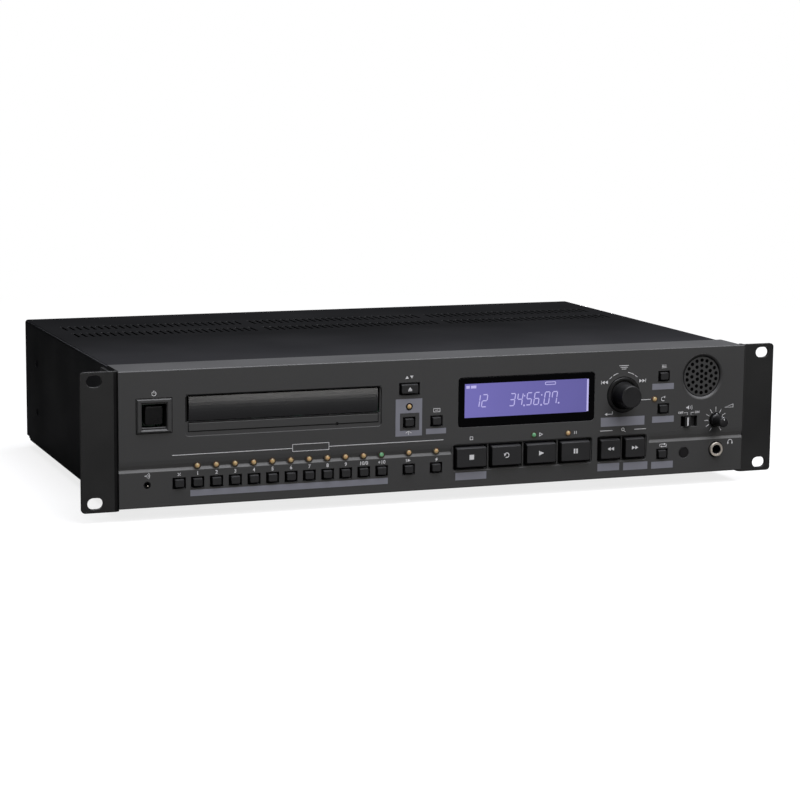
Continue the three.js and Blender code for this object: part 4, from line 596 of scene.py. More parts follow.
ALONG_SHEET = (1, 0.05, 1)
SATIN_ABS = {"IOR": 1.53, "Specular_IOR_Level": 0.3}
FINISHES = {
    # Fine-texture enamel sprayed on pressed aluminium: an even grey that scatters the light, with soft pressed
    # edges. The grain of the real one is near 0.1 mm, drawn at 0.5 mm so that it shows.
    "bezel_enamel": bezel_enamel,
    # A painted highlight along the fold of the same enamel: a paler, glossier line where the crease catches the light.
    "polished_crease": plain("#7c7c7e", 0.35, 0.5, 0.004, {"IOR": 1.5}, patch=25, tone=0.15),
    # Polyester powder coat baked on folded steel: black, matt, with a grit of about 0.4 mm.
    "powder_coat": powder_coat,
    # A painted highlight on the powder coat along a bend: a duller grey, where the bend catches the light of the room
    # behind.
    "rubbed_bend": plain(
        "#404042", 0.5, 0.5, 0.006, {"IOR": 1.5, "Specular_IOR_Level": 0.3}, patch=18, tone=0.25
    ),
    # Semi-gloss black enamel on a thick folded plate: smoother than the cover, with painted highlights along its upward
    # edges.
    "ear_enamel": ear_enamel,
    # Zinc-plated steel painted black inside and out: dark, a little shiny, with the sheet's faint rolling lines.
    "chassis_steel": plain(
        "#1b1b1d", 0.45, 1.2, 0.02, {"IOR": 1.5}, patch=50, tone=0.12, soft=0.4, stretch=ALONG_SHEET
    ),
    # ABS moulded in a spark-eroded tool: matt black with a very fine grain, and rounded edges that shine a little.
    "key_abs": key_abs,
    # ABS moulded and lightly textured: near black and satin, with painted shade that draws its side darker than its
    # front.
    "knob_abs": knob_abs,
    # Polished ABS: a deeper black than the keys, with a small soft highlight along its eased edge.
    "button_plastic": plain("#0c0c0d", 0.3, 0.5, 0.003, SATIN_ABS, patch=8, polish=0.03, soft=0.25),
    # ABS moulded satin for the ring round the dial: near black, with one soft line of light on its eased edge.
    "collar_plastic": plain("#161616", 0.4, 0.4, 0.006, SATIN_ABS, patch=9, tone=0.12, soft=0.2),
    # Glass-filled ABS moulded for the works inside: dark grey, matt, with faint flow patches.
    "works_abs": plain("#222223", 0.55, 0.5, 0.02, {"IOR": 1.53}, patch=15, tone=0.14, soft=0.2),
    # ABS moulded for the disc tray: black satin with a fine spark-eroded grain that keeps scratches from showing.
    "tray_abs": plain("#29292a", 0.4, 0.4, 0.012, {"IOR": 1.53}, patch=25, tone=0.08, soft=0.3),
    # Polished ABS moulding with a clear coat: piano black that mirrors the lights as one long soft band.
    "door_acrylic": plain("#272728", 0.28, 12, 0.001, {"IOR": 1.5}, patch=60, tone=0.06, polish=0.02, soft=0.25),
    # Polished acrylic printed black behind: a deep even black that reflects very little from the front.
    "pane_acrylic": plain(
        "#050506", 0.12, 4, 0.002, {"IOR": 1.49, "Specular_IOR_Level": 0.12}, patch=40, polish=0.03, soft=0.2
    ),
    # Acrylic dyed dark brown that only infrared passes: a smoky near black with a soft gloss.
    "smoked_acrylic": plain("#131213", 0.3, 2, 0.002, {"IOR": 1.49}, patch=3, polish=0.03, soft=0.2),
    # Moulded neoprene: dull black with dusty patches.
    "feet_rubber": plain("#161616", 0.85, 0.6, 0.03, {"IOR": 1.52}, patch=6, tone=0.25, soft=0.4),
    # Bright zinc plate on rolled steel: cool grey metal with fine lines along the sheet.
    "plated_steel": plain(
        "#b9babd", 0.34, 1.5, 0.01, {"Metallic": 1.0}, patch=12, tone=0.07, polish=0.08, stretch=(1, 0.06, 1)
    ),
    # Nickel plate on turned brass: warm bright metal, its turning lines too fine to see, so with a soft sheen alone.
    "nickel_plate": plain("#ded6cb", 0.52, 0.6, 0.004, {"Metallic": 1.0}, patch=4, tone=0.08),
    # Black zinc plate on a cold-formed screw: dark metal, worn brighter round the recess.
    "black_screw": plain("#2b2b2d", 0.38, 0.5, 0.01, {"Metallic": 0.8}, patch=2, tone=0.25, polish=0.08),
    # Moulded acetal: milky white and slippery, with light passing a little way in.
    "gear_acetal": plain(
        "#d9d6cc", 0.36, 0.8, 0.006, {"IOR": 1.48, "Subsurface_Weight": 0.15, "Subsurface_Scale": 0.001},
        patch=8, tone=0.05,
    ),
    # Screen-printed epoxy ink: flat pale grey, a little uneven where the mesh of the screen shows.
    "legend_ink": plain("legend_ink", 0.6, 0.25, 0.004, {"IOR": 1.5}, patch=3, tone=0.06),
    # Screen-printed epoxy ink mixed to a blue-grey: a flat tint under the second words of the keys.
    "panel_ink": plain("panel_ink", 0.6, 0.4, 0.004, {"IOR": 1.5}, patch=15, tone=0.04),
    # Painted shade: a matt black for gaps, holes and recesses that no light reaches; it takes almost no light.
    "shadow_ink": plain("#0b0b0b", 0.8, 0.4, 0.004, {"IOR": 1.5, "Specular_IOR_Level": 0.2}, patch=6),
    # Painted shade down the grille's holes and round its disc: nearly no light comes back.
    "cloth_black": plain(
        "#030303", 0.95, 0.3, 0.01, {"IOR": 1.5, "Specular_IOR_Level": 0.02}, patch=3, tone=0.2, polish=0.02
    ),
    # Tinted acrylic light pipe, moulded and unlit: coloured right through, with a faint painted glow, and drawn darker
    # on its sloped sides than on its front.
    "amber_lens": lamp_lens("amber_lamp"),
    "green_lens": lamp_lens("green_lamp"),
    # Painted shade in the edge of the moulded hole round each lens: dark brown, with a little of the lens's tint in it.
    "lamp_rim": plain("#352b20", 0.5, 0.4, 0.004, {"IOR": 1.5}, patch=3, tone=0.2),
    # Backlit liquid-crystal glass: violet light from the edge of a light guide, brighter towards its left end.
    "display_glow": display_glow,
    # A segment that lets the backlight through: pale lilac against the violet.
    "display_segment": display_segment,
    # Moulded polypropylene rings, coloured right through and satin, with the tool's fine grain.
    "ring_white": plain("#d6d5cf", 0.42, 0.4, 0.008, {"IOR": 1.49}, patch=4, tone=0.08, soft=0.15),
    "ring_red": plain("#a3241f", 0.42, 0.4, 0.008, {"IOR": 1.49}, patch=4, tone=0.08, soft=0.15),
    "ring_orange": plain("#c8681d", 0.42, 0.4, 0.008, {"IOR": 1.49}, patch=4, tone=0.08, soft=0.15),
    # Solder-masked fibreglass: dark glossy green with the weave just showing. Its parts are black thermoplastic.
    "front_circuit": circuit_board("front_board", "Y", 1, -22.1, -20.3),
    "main_circuit": circuit_board("main_board", "Z", 0, -0.1, 1.65),
    "supply_circuit": circuit_board("power_supply", "Z", 0, -0.1, 1.65),
    # Matt white studio paper: bright to the eye, and dimmer in reflections, as a floor outside the lights would be.
    "floor_paint": floor_paint,
}


def finish(name):
    """The material of that finish, made the first time that it is asked for."""
    return bpy.data.materials.get(name) or FINISHES[name](name)


def paint_nodes(name, *nodes):
    """Gives CAD nodes a finish by filling their material slots."""
    for node in nodes:
        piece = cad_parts[node]
        if not piece.material_slots:
            piece.data.materials.append(finish(name))
        for slot in piece.material_slots:
            slot.material = finish(name)


def ease_edges(width, *names):
    """Rounds the sharp edges of CAD nodes by that many millimetres, so that they catch a thin light."""
    for name in names:
        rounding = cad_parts[name].modifiers.new("eased_edges", "BEVEL")
        rounding.width = width * MM
        rounding.segments = 2
        rounding.limit_method = "ANGLE"
        rounding.angle_limit = math.radians(40)


# Operators, one for each piece or group of like pieces


KEYS = [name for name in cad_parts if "_key" in name]


class PLAYER_OT_stage(bpy.types.Operator):
    """Set up the camera, the pale floor and the soft studio lights"""

    bl_idname = "player.stage"
    bl_label = "Stage"

    def execute(self, context):
        scene = context.scene
        setup = scene.player_stage
        azimuth, elevation, roll = setup.azimuth, setup.elevation, setup.roll
        look = Vector(
            (math.sin(azimuth) * math.cos(elevation), math.cos(azimuth) * math.cos(elevation), -math.sin(elevation))
        )
        across = look.cross(Vector((0, 0, 1))).normalized()
        up = across.cross(look)
        right = across * math.cos(roll) + up * math.sin(roll)
        top = up * math.cos(roll) - across * math.sin(roll)
        camera = bpy.data.objects.new("camera", bpy.data.cameras.new("camera"))
        camera.matrix_world = Matrix(
            [(right[i], top[i], -look[i], setup.spot[i]) for i in range(3)] + [(0, 0, 0, 1)]
        )
        camera.data.lens = setup.lens
        camera.data.sensor_width = 36
        camera.data.clip_end = 50
        scene.collection.objects.link(camera)
        scene.camera = camera
        scene.view_settings.view_transform = "Standard"

        bm = bmesh.new()
        prism(bm, rounded(0, 0, 24, 24, 4, 8), -0.02, 0, Matrix.Identity(4))
        mesh = bpy.data.meshes.new("floor")
        bm.to_mesh(mesh)
        bm.free()
        mesh.materials.append(finish("floor_paint"))
        floor = bpy.data.objects.new("floor", mesh)
        scene.collection.objects.link(floor)

        # Name, place, aim, width, depth, watts and colour
        lights = (
            ("light_over", (0.3, -0.25, 1.75), (0.0, 0.05, 0.05), 2.2, 1.5, setup.top_light, "#f7f8ff"),
            ("light_front", (0.7, -2.0, 1.5), (0.0, -0.1, 0.05), 1.6, 1.0, setup.front_light, "#fffdfa"),
            ("light_door", (0.6, -2.3, 0.36), (-0.1, -0.14, 0.07), 0.2, 0.45, setup.door_light, "#fffdfa"),
            ("light_back", (0.4, 1.6, 0.05), (0.4, 0.14, 0.05), 1.2, 0.06, setup.back_light, "#fffdfa"),
            ("light_right", (1.7, 0.3, 0.05), (0.2, 0.1, 0.05), 0.5, 0.06, setup.right_light, "#fffdfa"),
        )
        for name, spot, target, width, depth, watts, colour in lights:
            lamp = bpy.data.lights.new(name, "AREA")
            lamp.shape = "RECTANGLE"
            lamp.size, lamp.size_y = width, depth
            lamp.energy = watts
            lamp.color = linear(colour)
            holder = bpy.data.objects.new(name, lamp)
            aim = Vector(target) - Vector(spot)
            holder.location = spot
            holder.rotation_mode = "QUATERNION"
            holder.rotation_quaternion = aim.to_track_quat("-Z", "Y")
            scene.collection.objects.link(holder)

        world = bpy.data.worlds.new("studio")
        world.use_nodes = True
        tree = world.node_tree
        tree.nodes.clear()
        path = put(tree, "LightPath")
        dim = put(tree, "Background", {"Color": (0.9, 0.95, 1, 1), "Strength": 0.02})
        bright = put(tree, "Background", {"Color": (1, 1, 1, 1), "Strength": 1.0})
        both = put(
            tree, "MixShader", links={0: path.outputs["Is Camera Ray"], 1: dim.outputs[0], 2: bright.outputs[0]}
        )
        put(tree, "OutputWorld", links={"Surface": both.outputs[0]})
        scene.world = world
        return {"FINISHED"}


class PLAYER_OT_casing(bpy.types.Operator):
    """Paint the bezel, ears, cover, chassis, rear panel and feet"""

    bl_idname = "player.casing"
    bl_label = "Casing finishes"

    def execute(self, context):
        paint_nodes("bezel_enamel", "front_bezel", "power_frame")
        paint_nodes("ear_enamel", "rack_ear_left", "rack_ear_right")
        paint_nodes("powder_coat", "top_cover")
        ease_edges(0.35, "power_frame")
        ease_edges(0.4, "rack_ear_left", "rack_ear_right")
        paint_nodes("chassis_steel", "base_chassis", "rear_panel")
        paint_nodes("feet_rubber", "foot_front_left", "foot_front_right", "foot_rear_left", "foot_rear_right")
        return {"FINISHED"}


class PLAYER_OT_controls(bpy.types.Operator):
    """Finish the keys, knobs, switch, sockets and windows of the front"""

    bl_idname = "player.controls"
    bl_label = "Control finishes"

    def execute(self, context):
        paint_nodes("key_abs", *KEYS)
        paint_nodes("button_plastic", "power_button")
        ease_edges(0.5, "power_button")
        paint_nodes("knob_abs", "jog_dial", "level_knob", "speaker_switch")
        paint_nodes("works_abs", "speaker_driver", "ac_inlet")
        paint_nodes("pane_acrylic", "display_window")
        paint_nodes("smoked_acrylic", "ir_window")
        paint_nodes("display_glow", "lcd_module")
        paint_nodes("works_abs", "phones_jack")
        paint_nodes("plated_steel", "encoder_shaft")
        paint_nodes("front_circuit", "front_board")
        paint_nodes("main_circuit", "main_board")
        paint_nodes("supply_circuit", "power_supply")
        return {"FINISHED"}


class PLAYER_OT_drive(bpy.types.Operator):
    """Finish the tray, its door and the works of the drive"""

    bl_idname = "player.drive"
    bl_label = "Drive finishes"

    def execute(self, context):
        paint_nodes("door_acrylic", "tray_door")
        paint_nodes("tray_abs", "disc_tray")
        paint_nodes("works_abs", "loader_frame", "pickup_sled")
        paint_nodes("plated_steel", "clamp_bridge", "traverse_deck")
        paint_nodes("gear_acetal", "loading_gear", "turntable", "disc_clamp")
        return {"FINISHED"}


DIGIT_KEYS = [f"number_key_{n}" for n in ("1", "2", "3", "4", "5", "6", "7", "8", "9", "10_0", "plus_10")]
DIGIT_SIGNS = ("1", "2", "3", "4", "5", "6", "7", "8", "9", "10/0", "+10")


def middle(node):
    """A node's middle across and up the front, in millimetres."""
    low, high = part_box(node)
    return (low.x + high.x) / 2 / MM, ((low.z + high.z) / 2 - AXIS_Z) / MM


def front_of(node):
    """How far a node's front stands out of the bezel's face, in millimetres."""
    return (BEZEL[0].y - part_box(node)[0].y) / MM


# The gap all round a key's cap, and the floor of the pocket that a wide key stands in, in millimetres
KEY_GAP = 0.45
WIDE_POCKET = -0.8


def key_size(node):
    """Width and height of a key's cap, without the flange behind it, and whether it is a wide key."""
    low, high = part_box(node)
    wide = front_of(node) > 1.5
    rims = 1.8 if wide else 2.7
    return (high.x - low.x) / MM - rims, (high.z - low.z) / MM - rims, wide


class PLAYER_OT_key_caps(bpy.types.Operator):
    """Fit the keys with drafted, eased caps in place of the plain ones"""

    bl_idname = "player.key_caps"
    bl_label = "Key caps"

    def execute(self, context):
        for node in KEYS:
            u, v = middle(node)
            front = front_of(node)
            back = (BEZEL[0].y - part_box(node)[1].y) / MM
            width, height, wide = key_size(node)
            flange_rim, flange_back, flange_front = 0.9, -5.0, -3.8
            flange = rectangle(u, v, width + 2 * flange_rim, height + 2 * flange_rim)
            top, side, corner = 1.3 if wide else 0.8, 0.9, 0.9
            levels = [(rounded(u, v, width - 0.4, height - 0.4, corner, 3), flange_front)]
            # The draft: each step has a share of the slope's inset, at a share of the cap's rise above its pocket.
            for inset, rise in ((0.35, 0.0), (0.45, 0.45), (0.75, 0.8), (0.92, 0.94), (1.0, 1.0)):
                outline = rounded(u, v, width - 2 * side * inset, height - 2 * top * inset, corner, 3)
                levels.append((outline, (front - WIDE_POCKET) * rise + WIDE_POCKET))
            bm = bmesh.new()
            loft(bm, levels, FRONT)
            # The flange and the stem behind the cap take painted shade, so that the gap round the cap reads black.
            prism(bm, flange, flange_back, flange_front, FRONT, slot=1)
            prism(bm, rectangle(u, v, 3.6, 2.6), back, flange_back, FRONT, slot=1)
            piece = add_piece(
                node + "_cap", bm, "key_abs shadow_ink", node + "_body", smooth=35
            )
            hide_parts(node)
        return {"FINISHED"}


class PLAYER_OT_face_print(bpy.types.Operator):
    """Print the lines, outlined box, filled boxes and panel of the front"""

    bl_idname = "player.face_print"
    bl_label = "Face print"

    def execute(self, context):
        line = sizes().legend_line
        bm = bmesh.new()
        # Left, right, bottom and top of the filled boxes
        filled = (
            (-172.4, -40.6, -36.75, -32.8),
            (-14.5, -0.5, -5.7, -2.1),
            (6.5, 28.4, -37.4, -32.4),
            (109.1, 125.2, -37.3, -32.2),
            (128.2, 146.3, -37.7, -32.5),
            (110.8, 143.2, -7.3, -1.2),
            (148.5, 164.7, 16.0, 20.1),
            (149.0, 165.3, -6.5, -2.2),
            (149.2, 165.5, -37.9, -33.2),
        )
        for box in filled:
            ink(bm, span(*box))
        # The filled box round the shift key, in four parts round the key's own hole
        outside = span(-35.6, -17.3, -6.2, 18.1)
        inside = span(-32.6, -19.2, -2.6, 8.8)
        for i in range(4):
            ink(bm, [outside[i], outside[(i + 1) % 4], inside[(i + 1) % 4], inside[i]])
        add_piece("print_blue_grey", bm, "panel_ink")

        bm = bmesh.new()
        box = span(-105.2, -80.9, -12.0, -7.5)
        strokes = (
            [(-183.9, -10.2), (-105.2, -10.0)],
            [(-80.9, -10.0), (-2.2, -9.9)],
            [(110.6, -10.1), (119.5, -10.1)],
            [(135.8, -10.1), (144.6, -10.1)],
            [(140.4, 9.65), (147.6, 9.65)],
        )
        for points in strokes:
            ink_line(bm, points, line)
        ink_line(bm, box, line * 0.8, closed=True)
        add_piece("print_lines", bm, "legend_ink")
        return {"FINISHED"}


class PLAYER_OT_dark_gaps(bpy.types.Operator):
    """Paint shade into the gaps round the keys, the tray's door, its sill and the left ear, which no light reaches, and
    paint highlights along the front's crease and the cover's bend
    """

    bl_idname = "player.dark_gaps"
    bl_label = "Dark gaps"

    def execute(self, context):
        # Painted shade: a black frame in the gap round each key's cap.
        bm = bmesh.new()
        for node in KEYS:
            u, v = middle(node)
            width, height, wide = key_size(node)
            edge, low = (0.5, WIDE_POCKET) if wide else (0.2, 0.0)
            reach = 2 * KEY_GAP + edge
            outline = rectangle(u, v, width + reach, height + reach)
            ink_line(bm, outline, edge, low=low, closed=True)
        add_piece("key_gaps", bm, "shadow_ink")

        # Painted shade round the tray's door, under the front's edge above it, behind the sill, round the sill and in
        # the pinhole
        bm = bmesh.new()
        floor, sill = -0.8, -0.6
        ink(bm, span(-175.3, -174.2, 10.4, 27.1), low=floor)
        ink(bm, span(-174.2, -45.4, 26.75, 27.1), low=floor)
        ink(bm, span(-174.9, -45.7, 27.2, 27.65))
        ink(bm, span(-173.0, -47.6, 9.7, 10.35), low=sill)
        ink_line(bm, [(-173.3, 10.2), (-173.3, 4.1), (-47.3, 4.1), (-47.3, 10.2)], 0.55, low=floor)
        prism(bm, circle(-75.2, 4.4, 0.95, 16), floor, sill + PRINT, FRONT)
        add_piece("tray_gaps", bm, "shadow_ink")

        # Painted shade: a black strip on the left ear beside the bezel's end, where the ear's bend lies in shade.
        bm = bmesh.new()
        ear = (BEZEL[0].y - EAR[0].y) / MM
        ink(bm, span(-220.3, -217.95, -43.3, 43.3), low=ear)
        add_piece("ear_gap", bm, "shadow_ink")

        # A painted highlight along the crease of the front's top band, which thins out towards the right
        bm = bmesh.new()
        top = (BEZEL[1].z - AXIS_Z) / MM
        line = [(-217.6, top - 0.6), (60, top - 0.4), (60, top - 0.3), (-217.6, top - 0.15)]
        prism(bm, line, -0.1, 0.03, FRONT)
        add_piece("band_crease", bm, "polished_crease")

        # A painted highlight along the cover's left bend, which thins out towards the back
        turn = math.sqrt(0.5)
        inset = 2.0 * (1 - turn) * MM
        bend = place((COVER[0].x + inset, 0, COVER[1].z - inset), (0, -1, 0), (turn, 0, turn), (-turn, 0, turn))
        bm = bmesh.new()
        prism(bm, [(-140, -0.05), (108, -0.26), (108, 0.26), (-140, 0.05)], -0.1, 0.03, bend)
        add_piece("cover_bend_line", bm, "rubbed_bend")
        return {"FINISHED"}


class PLAYER_OT_power_rim(bpy.types.Operator):
    """Fit the sloped rim round the power button's opening"""

    bl_idname = "player.power_rim"
    bl_label = "Power rim"

    def execute(self, context):
        u, v = middle("power_button")
        # Foot outside, edge outside, edge inside and the slope down to the button, with their heights
        levels = [
            (rectangle(u, v, 22.4, 21.4), 0.02), (rectangle(u, v, 21.0, 20.0), 0.9),
            (rectangle(u, v - 0.45, 17.4, 17.9), 0.9), (rectangle(u, v - 0.45, 16.1, 16.8), 0.45),
            (rectangle(u, v - 0.45, 16.1, 16.8), 0.3), (rectangle(u, v, 22.3, 21.3), 0.01),
        ]
        bm = bmesh.new()
        loft(bm, levels, FRONT, ring=True)
        add_piece("power_rim", bm, "bezel_enamel")
        # Painted shade: a dark line round the rim's foot, and a dark strip on the ledge below the button.
        bm = bmesh.new()
        ink_line(bm, rectangle(u, v, 22.9, 21.9), 0.5, closed=True)
        corner = (u * MM, BEZEL[0].y - 0.4 * MM, AXIS_Z + (v - 9.0) * MM)
        ledge = place(corner, (1, 0, 0), (0, 0.785, 0.62), (0, -0.62, 0.785))
        ink(bm, span(-7.9, 7.9, 0.7, 1.8), ledge)
        add_piece("power_gap", bm, "shadow_ink")
        return {"FINISHED"}


class PLAYER_OT_key_numbers(bpy.types.Operator):
    """Print the plain numbers above the number keys"""

    bl_idname = "player.key_numbers"
    bl_label = "Key numbers"

    def execute(self, context):
        bm = bmesh.new()
        for node, sign in zip(DIGIT_KEYS, DIGIT_SIGNS):
            u, v = middle(node)
            figures(bm, sign, u, v + 5.7, sizes().number_height, FRONT)
        add_piece("print_numbers", bm, "legend_ink")
        return {"FINISHED"}


class PLAYER_OT_plain_signs(bpy.types.Operator):
    """Print the plain signs that stand where a maker prints words"""

    bl_idname = "player.plain_signs"
    bl_label = "Plain signs"

    def execute(self, context):
        bm = bmesh.new()
        line = sizes().legend_line

        def draw(points, closed=False, width=line):
            ink_line(bm, points, width, closed=closed)

        def fill(outline):
            ink(bm, outline)

        # Power: a ring that is open at its top, with a bar
        draw(arc(-195.3, 29.2, 1.35, 125, 415, 20))
        draw([(-195.3, 29.3), (-195.3, 31.1)])
        # Remote socket: three arcs that spread from a point
        for radius in (1.0, 1.9, 2.8):
            draw(arc(-201.2, -22.3, radius, -42, 42, 8), width=line * 0.8)
        fill(circle(-201.2, -22.3, 0.4, 12))
        # Clear: a cross
        draw([(-180.4, -23.3), (-178.6, -21.5)])
        draw([(-180.4, -21.5), (-178.6, -23.3)])
        # Cue point: a bar and a triangle. Flash: a bolt
        draw([(-27.9, -23.2), (-27.9, -21.2)])
        fill(triangle(-25.9, -22.2, 2.2, 2.0))
        fill([(-6.3, -21.2), (-8.1, -22.7), (-7.1, -22.7), (-7.6, -24.0), (-5.7, -22.3), (-6.7, -22.3)])
        # Tray: up and down
        fill(triangle(-27.9, 32.2, 1.9, 2.4, 90))
        fill(triangle(-24.7, 32.2, 1.9, 2.4, -90))
        # Shift: an arrow that points up
        over = FRONT @ Matrix.Translation((0, 0, PRINT))
        ink_line(bm, [(-28.6, -4.3), (-26.6, -2.9), (-24.6, -4.3)], line, over)
        ink_line(bm, [(-26.6, -3.1), (-26.6, -5.4)], line, over)
        # Display: a frame with a line in it
        draw(rectangle(-7.1, 9.8, 4.4, 2.2), closed=True, width=line * 0.8)
        draw([(-8.2, 9.8), (-6.0, 9.8)], width=line * 0.8)
        # Stop, play and pause at their lamps
        draw(rectangle(17.5, -10.0, 1.9, 1.9), closed=True)
        draw(triangle(67.2, -10.0, 2.1, 2.1), closed=True)
        draw([(91.6, -9.0), (91.6, -11.0)])
        draw([(92.9, -9.0), (92.9, -11.0)])
        # Search: a ring with a handle
        draw(circle(127.3, -9.7, 0.95, 16), closed=True)
        draw([(128.0, -10.4), (129.2, -11.5)])
        # Dial: a list, and a bent arrow for enter
        for row, (start, end) in enumerate(((123.6, 130.6), (124.5, 129.7), (125.4, 128.8))):
            draw([(start, 33.4 - 1.15 * row), (end, 33.4 - 1.15 * row)])
        draw([(119.2, 2.8), (119.2, 1.0), (114.6, 1.0)])
        fill(triangle(114.4, 1.0, 1.9, 2.0, 180))
        for u, way in ((112.8, -1), (141.2, 1)):
            for k in (-1, 1):
                fill(triangle(u + 1.15 * k - 0.35 * way, 22.6, 2.0, 2.3, 0 if way > 0 else 180))
            draw([(u + 2.2 * way, 21.4), (u + 2.2 * way, 23.8)])
        for start, end in ((106, 122), (125, 134), (78, 61), (58, 49)):
            draw(arc(127.1, 13.8, 15.2, start, end, 5))
        # Menu: three bars. Jog: a turning arrow. Play mode: a loop
        for v in (32.5, 31.6, 30.7):
            draw([(155.3, v), (158.7, v)], width=line * 0.85)
        draw(arc(156.8, 9.5, 1.3, 40, 320, 16))
        fill(triangle(158.0, 10.5, 1.4, 1.5, -60))
        draw([(155.3, -22.9), (155.3, -21.4), (158.6, -21.4)])
        fill(triangle(159.2, -21.4, 1.2, 1.5))
        draw([(160.2, -21.4), (160.2, -23.0), (156.9, -23.0)])
        fill(triangle(156.3, -23.0, 1.2, 1.5, 180))
        # Loudspeaker: a horn and two arcs
        fill([(174.6, 2.3), (175.4, 2.3), (176.7, 1.3), (176.7, 4.1), (175.4, 3.1), (174.6, 3.1)])
        for radius in (1.2, 2.2):
            draw(arc(176.9, 2.7, radius, -42, 42, 8), width=line * 0.8)
        # Level: a wedge
        draw([(204.2, 1.5), (210.4, 1.5), (210.4, 3.6)], closed=True, width=line * 0.8)
        # Headphones: a band and two cups
        draw(arc(208.9, -22.6, 1.7, 0, 180, 14))
        fill(rounded(207.3, -23.1, 0.9, 1.5, 0.3, 3))
        fill(rounded(210.5, -23.1, 0.9, 1.5, 0.3, 3))
        add_piece("print_signs", bm, "legend_ink")
        return {"FINISHED"}


class PLAYER_OT_switch_print(bpy.types.Operator):
    """Print off and on at the slide switch, and the line on its handle"""

    bl_idname = "player.switch_print"
    bl_label = "Switch print"

    def execute(self, context):
        line = sizes().legend_line * 0.8
        bm = bmesh.new()
        figures(bm, "OFF", 170.4, -0.7, 1.6, FRONT)
        figures(bm, "ON", 182.9, -0.7, 1.6, FRONT)
        ink_line(bm, [(172.9, -0.7), (175.6, -0.7), (175.6, -2.2)], line)
        ink_line(bm, [(180.7, -0.7), (178.3, -0.7), (178.3, -2.2)], line)
        add_piece("print_switch", bm, "legend_ink")
        bm = bmesh.new()
        low = front_of("speaker_switch")
        ink_line(bm, [(175.35, -9.6), (175.35, -3.9)], 0.95, low=low)
        add_piece("switch_line", bm, "legend_ink", "speaker_switch_body")
        return {"FINISHED"}


class PLAYER_OT_key_signs(bpy.types.Operator):
    """Print the plain transport signs on the keys"""

    bl_idname = "player.key_signs"
    bl_label = "Key signs"

    def execute(self, context):
        height = sizes().sign_height
        for sign in ("stop", "call", "play", "pause", "search_back", "search_forward", "open_close"):
            node = sign + "_key"
            u, v = middle(node)
            v += 0.3
            where = FRONT @ Matrix.Translation((0, 0, front_of(node)))
            bm = bmesh.new()
            if sign == "stop":
                ink(bm, rectangle(u, v, height, height), where)
            elif sign == "call":
                ink_line(bm, arc(u, v, height * 0.48, 150, -120, 18), 0.5, where)
                ink(bm, triangle(u - height * 0.45, v + 0.1, 1.8, 1.9, -100), where)
            elif sign == "play":
                ink(bm, triangle(u, v, height * 1.15, height), where)
            elif sign == "pause":
                for k in (-1, 1):
                    ink(bm, rectangle(u + k * height * 0.28, v, height * 0.34, height), where)
            elif sign == "open_close":
                ink(bm, triangle(u, v + 0.1, 1.7, 2.6, 90), where)
                ink(bm, rectangle(u, v - 1.35, 2.6, 0.5), where)
            else:
                turn = 180 if sign == "search_back" else 0
                for k in (-1, 1):
                    ink(bm, triangle(u + k * 1.25, v, 2.3, 2.5, turn), where)
            add_piece("sign_" + node, bm, "legend_ink", node + "_body")
        return {"FINISHED"}


LAMP_ROW = [(-167.8 + 12.27 * n, -17.4) for n in range(11)]
AMBER_LAMPS = LAMP_ROW[:10] + [(-26.2, -17.05), (-7.2, -17.05), (-26.2, 13.0), (86.9, -10.15), (150.5, 9.7)]
GREEN_LAMPS = [LAMP_ROW[10], (62.1, -10.15)]


class PLAYER_OT_lamps(bpy.types.Operator):
    """Fit the domed ends of the light pipes"""

    bl_idname = "player.lamps"
    bl_label = "Lamps"

    def execute(self, context):
        radius, rise = sizes().lamp_radius, sizes().lamp_rise
        back, shoulder, rim, sides = -0.2, 0.12, 0.8, 24
        turns = [math.radians(a) for a in range(15, 90, 15)]
        dome = [(radius * math.cos(a), shoulder + (rise - shoulder) * math.sin(a)) for a in turns]
        profile = [(0, back), (radius, back), (radius, shoulder), *dome, (0, rise)]
        for colour, spots in (("amber", AMBER_LAMPS), ("green", GREEN_LAMPS)):
            bm = bmesh.new()
            for u, v in spots:
                turned(bm, profile, u, v, FRONT, sides)
            add_piece(colour + "_lamps", bm, colour + "_lens", smooth=50)
        # Painted shade: a dark ring round each lens, where the edge of its hole lies in shade.
        bm = bmesh.new()
        for u, v in AMBER_LAMPS + GREEN_LAMPS:
            tube(bm, u, v, radius, radius + rim, 0, PRINT, sides=sides, where=FRONT)
        add_piece("lamp_rims", bm, "lamp_rim")
        return {"FINISHED"}


SEGMENTS = {
    "0": "abcdef", "1": "bc", "2": "abged", "3": "abgcd", "4": "fgbc",
    "5": "afgcd", "6": "afgedc", "7": "abcf", "8": "abcdefg", "9": "abcdfg",
}


def segment_digit(bm, digit, u, v, low):
    """Prints a seven-segment digit of thin bars that lean to the right."""
    width, height, slant = 3.4, 8.0, 0.14
    w, h, thick, gap = width / 2, height / 2, height * 0.085, height * 0.035
    ends = {
        "a": ((-w, h), (w, h)), "g": ((-w, 0), (w, 0)), "d": ((-w, -h), (w, -h)),
        "f": ((-w, h), (-w, 0)), "b": ((w, h), (w, 0)), "e": ((-w, 0), (-w, -h)), "c": ((w, 0), (w, -h)),
    }
    for name in SEGMENTS[digit]:
        (x0, y0), (x1, y1) = ends[name]
        way = math.hypot(x1 - x0, y1 - y0)
        dx, dy = (x1 - x0) / way * gap, (y1 - y0) / way * gap
        points = [(u + x + slant * y, v + y) for x, y in ((x0 + dx, y0 + dy), (x1 - dx, y1 - dy))]
        ink_line(bm, points, thick, low=low)


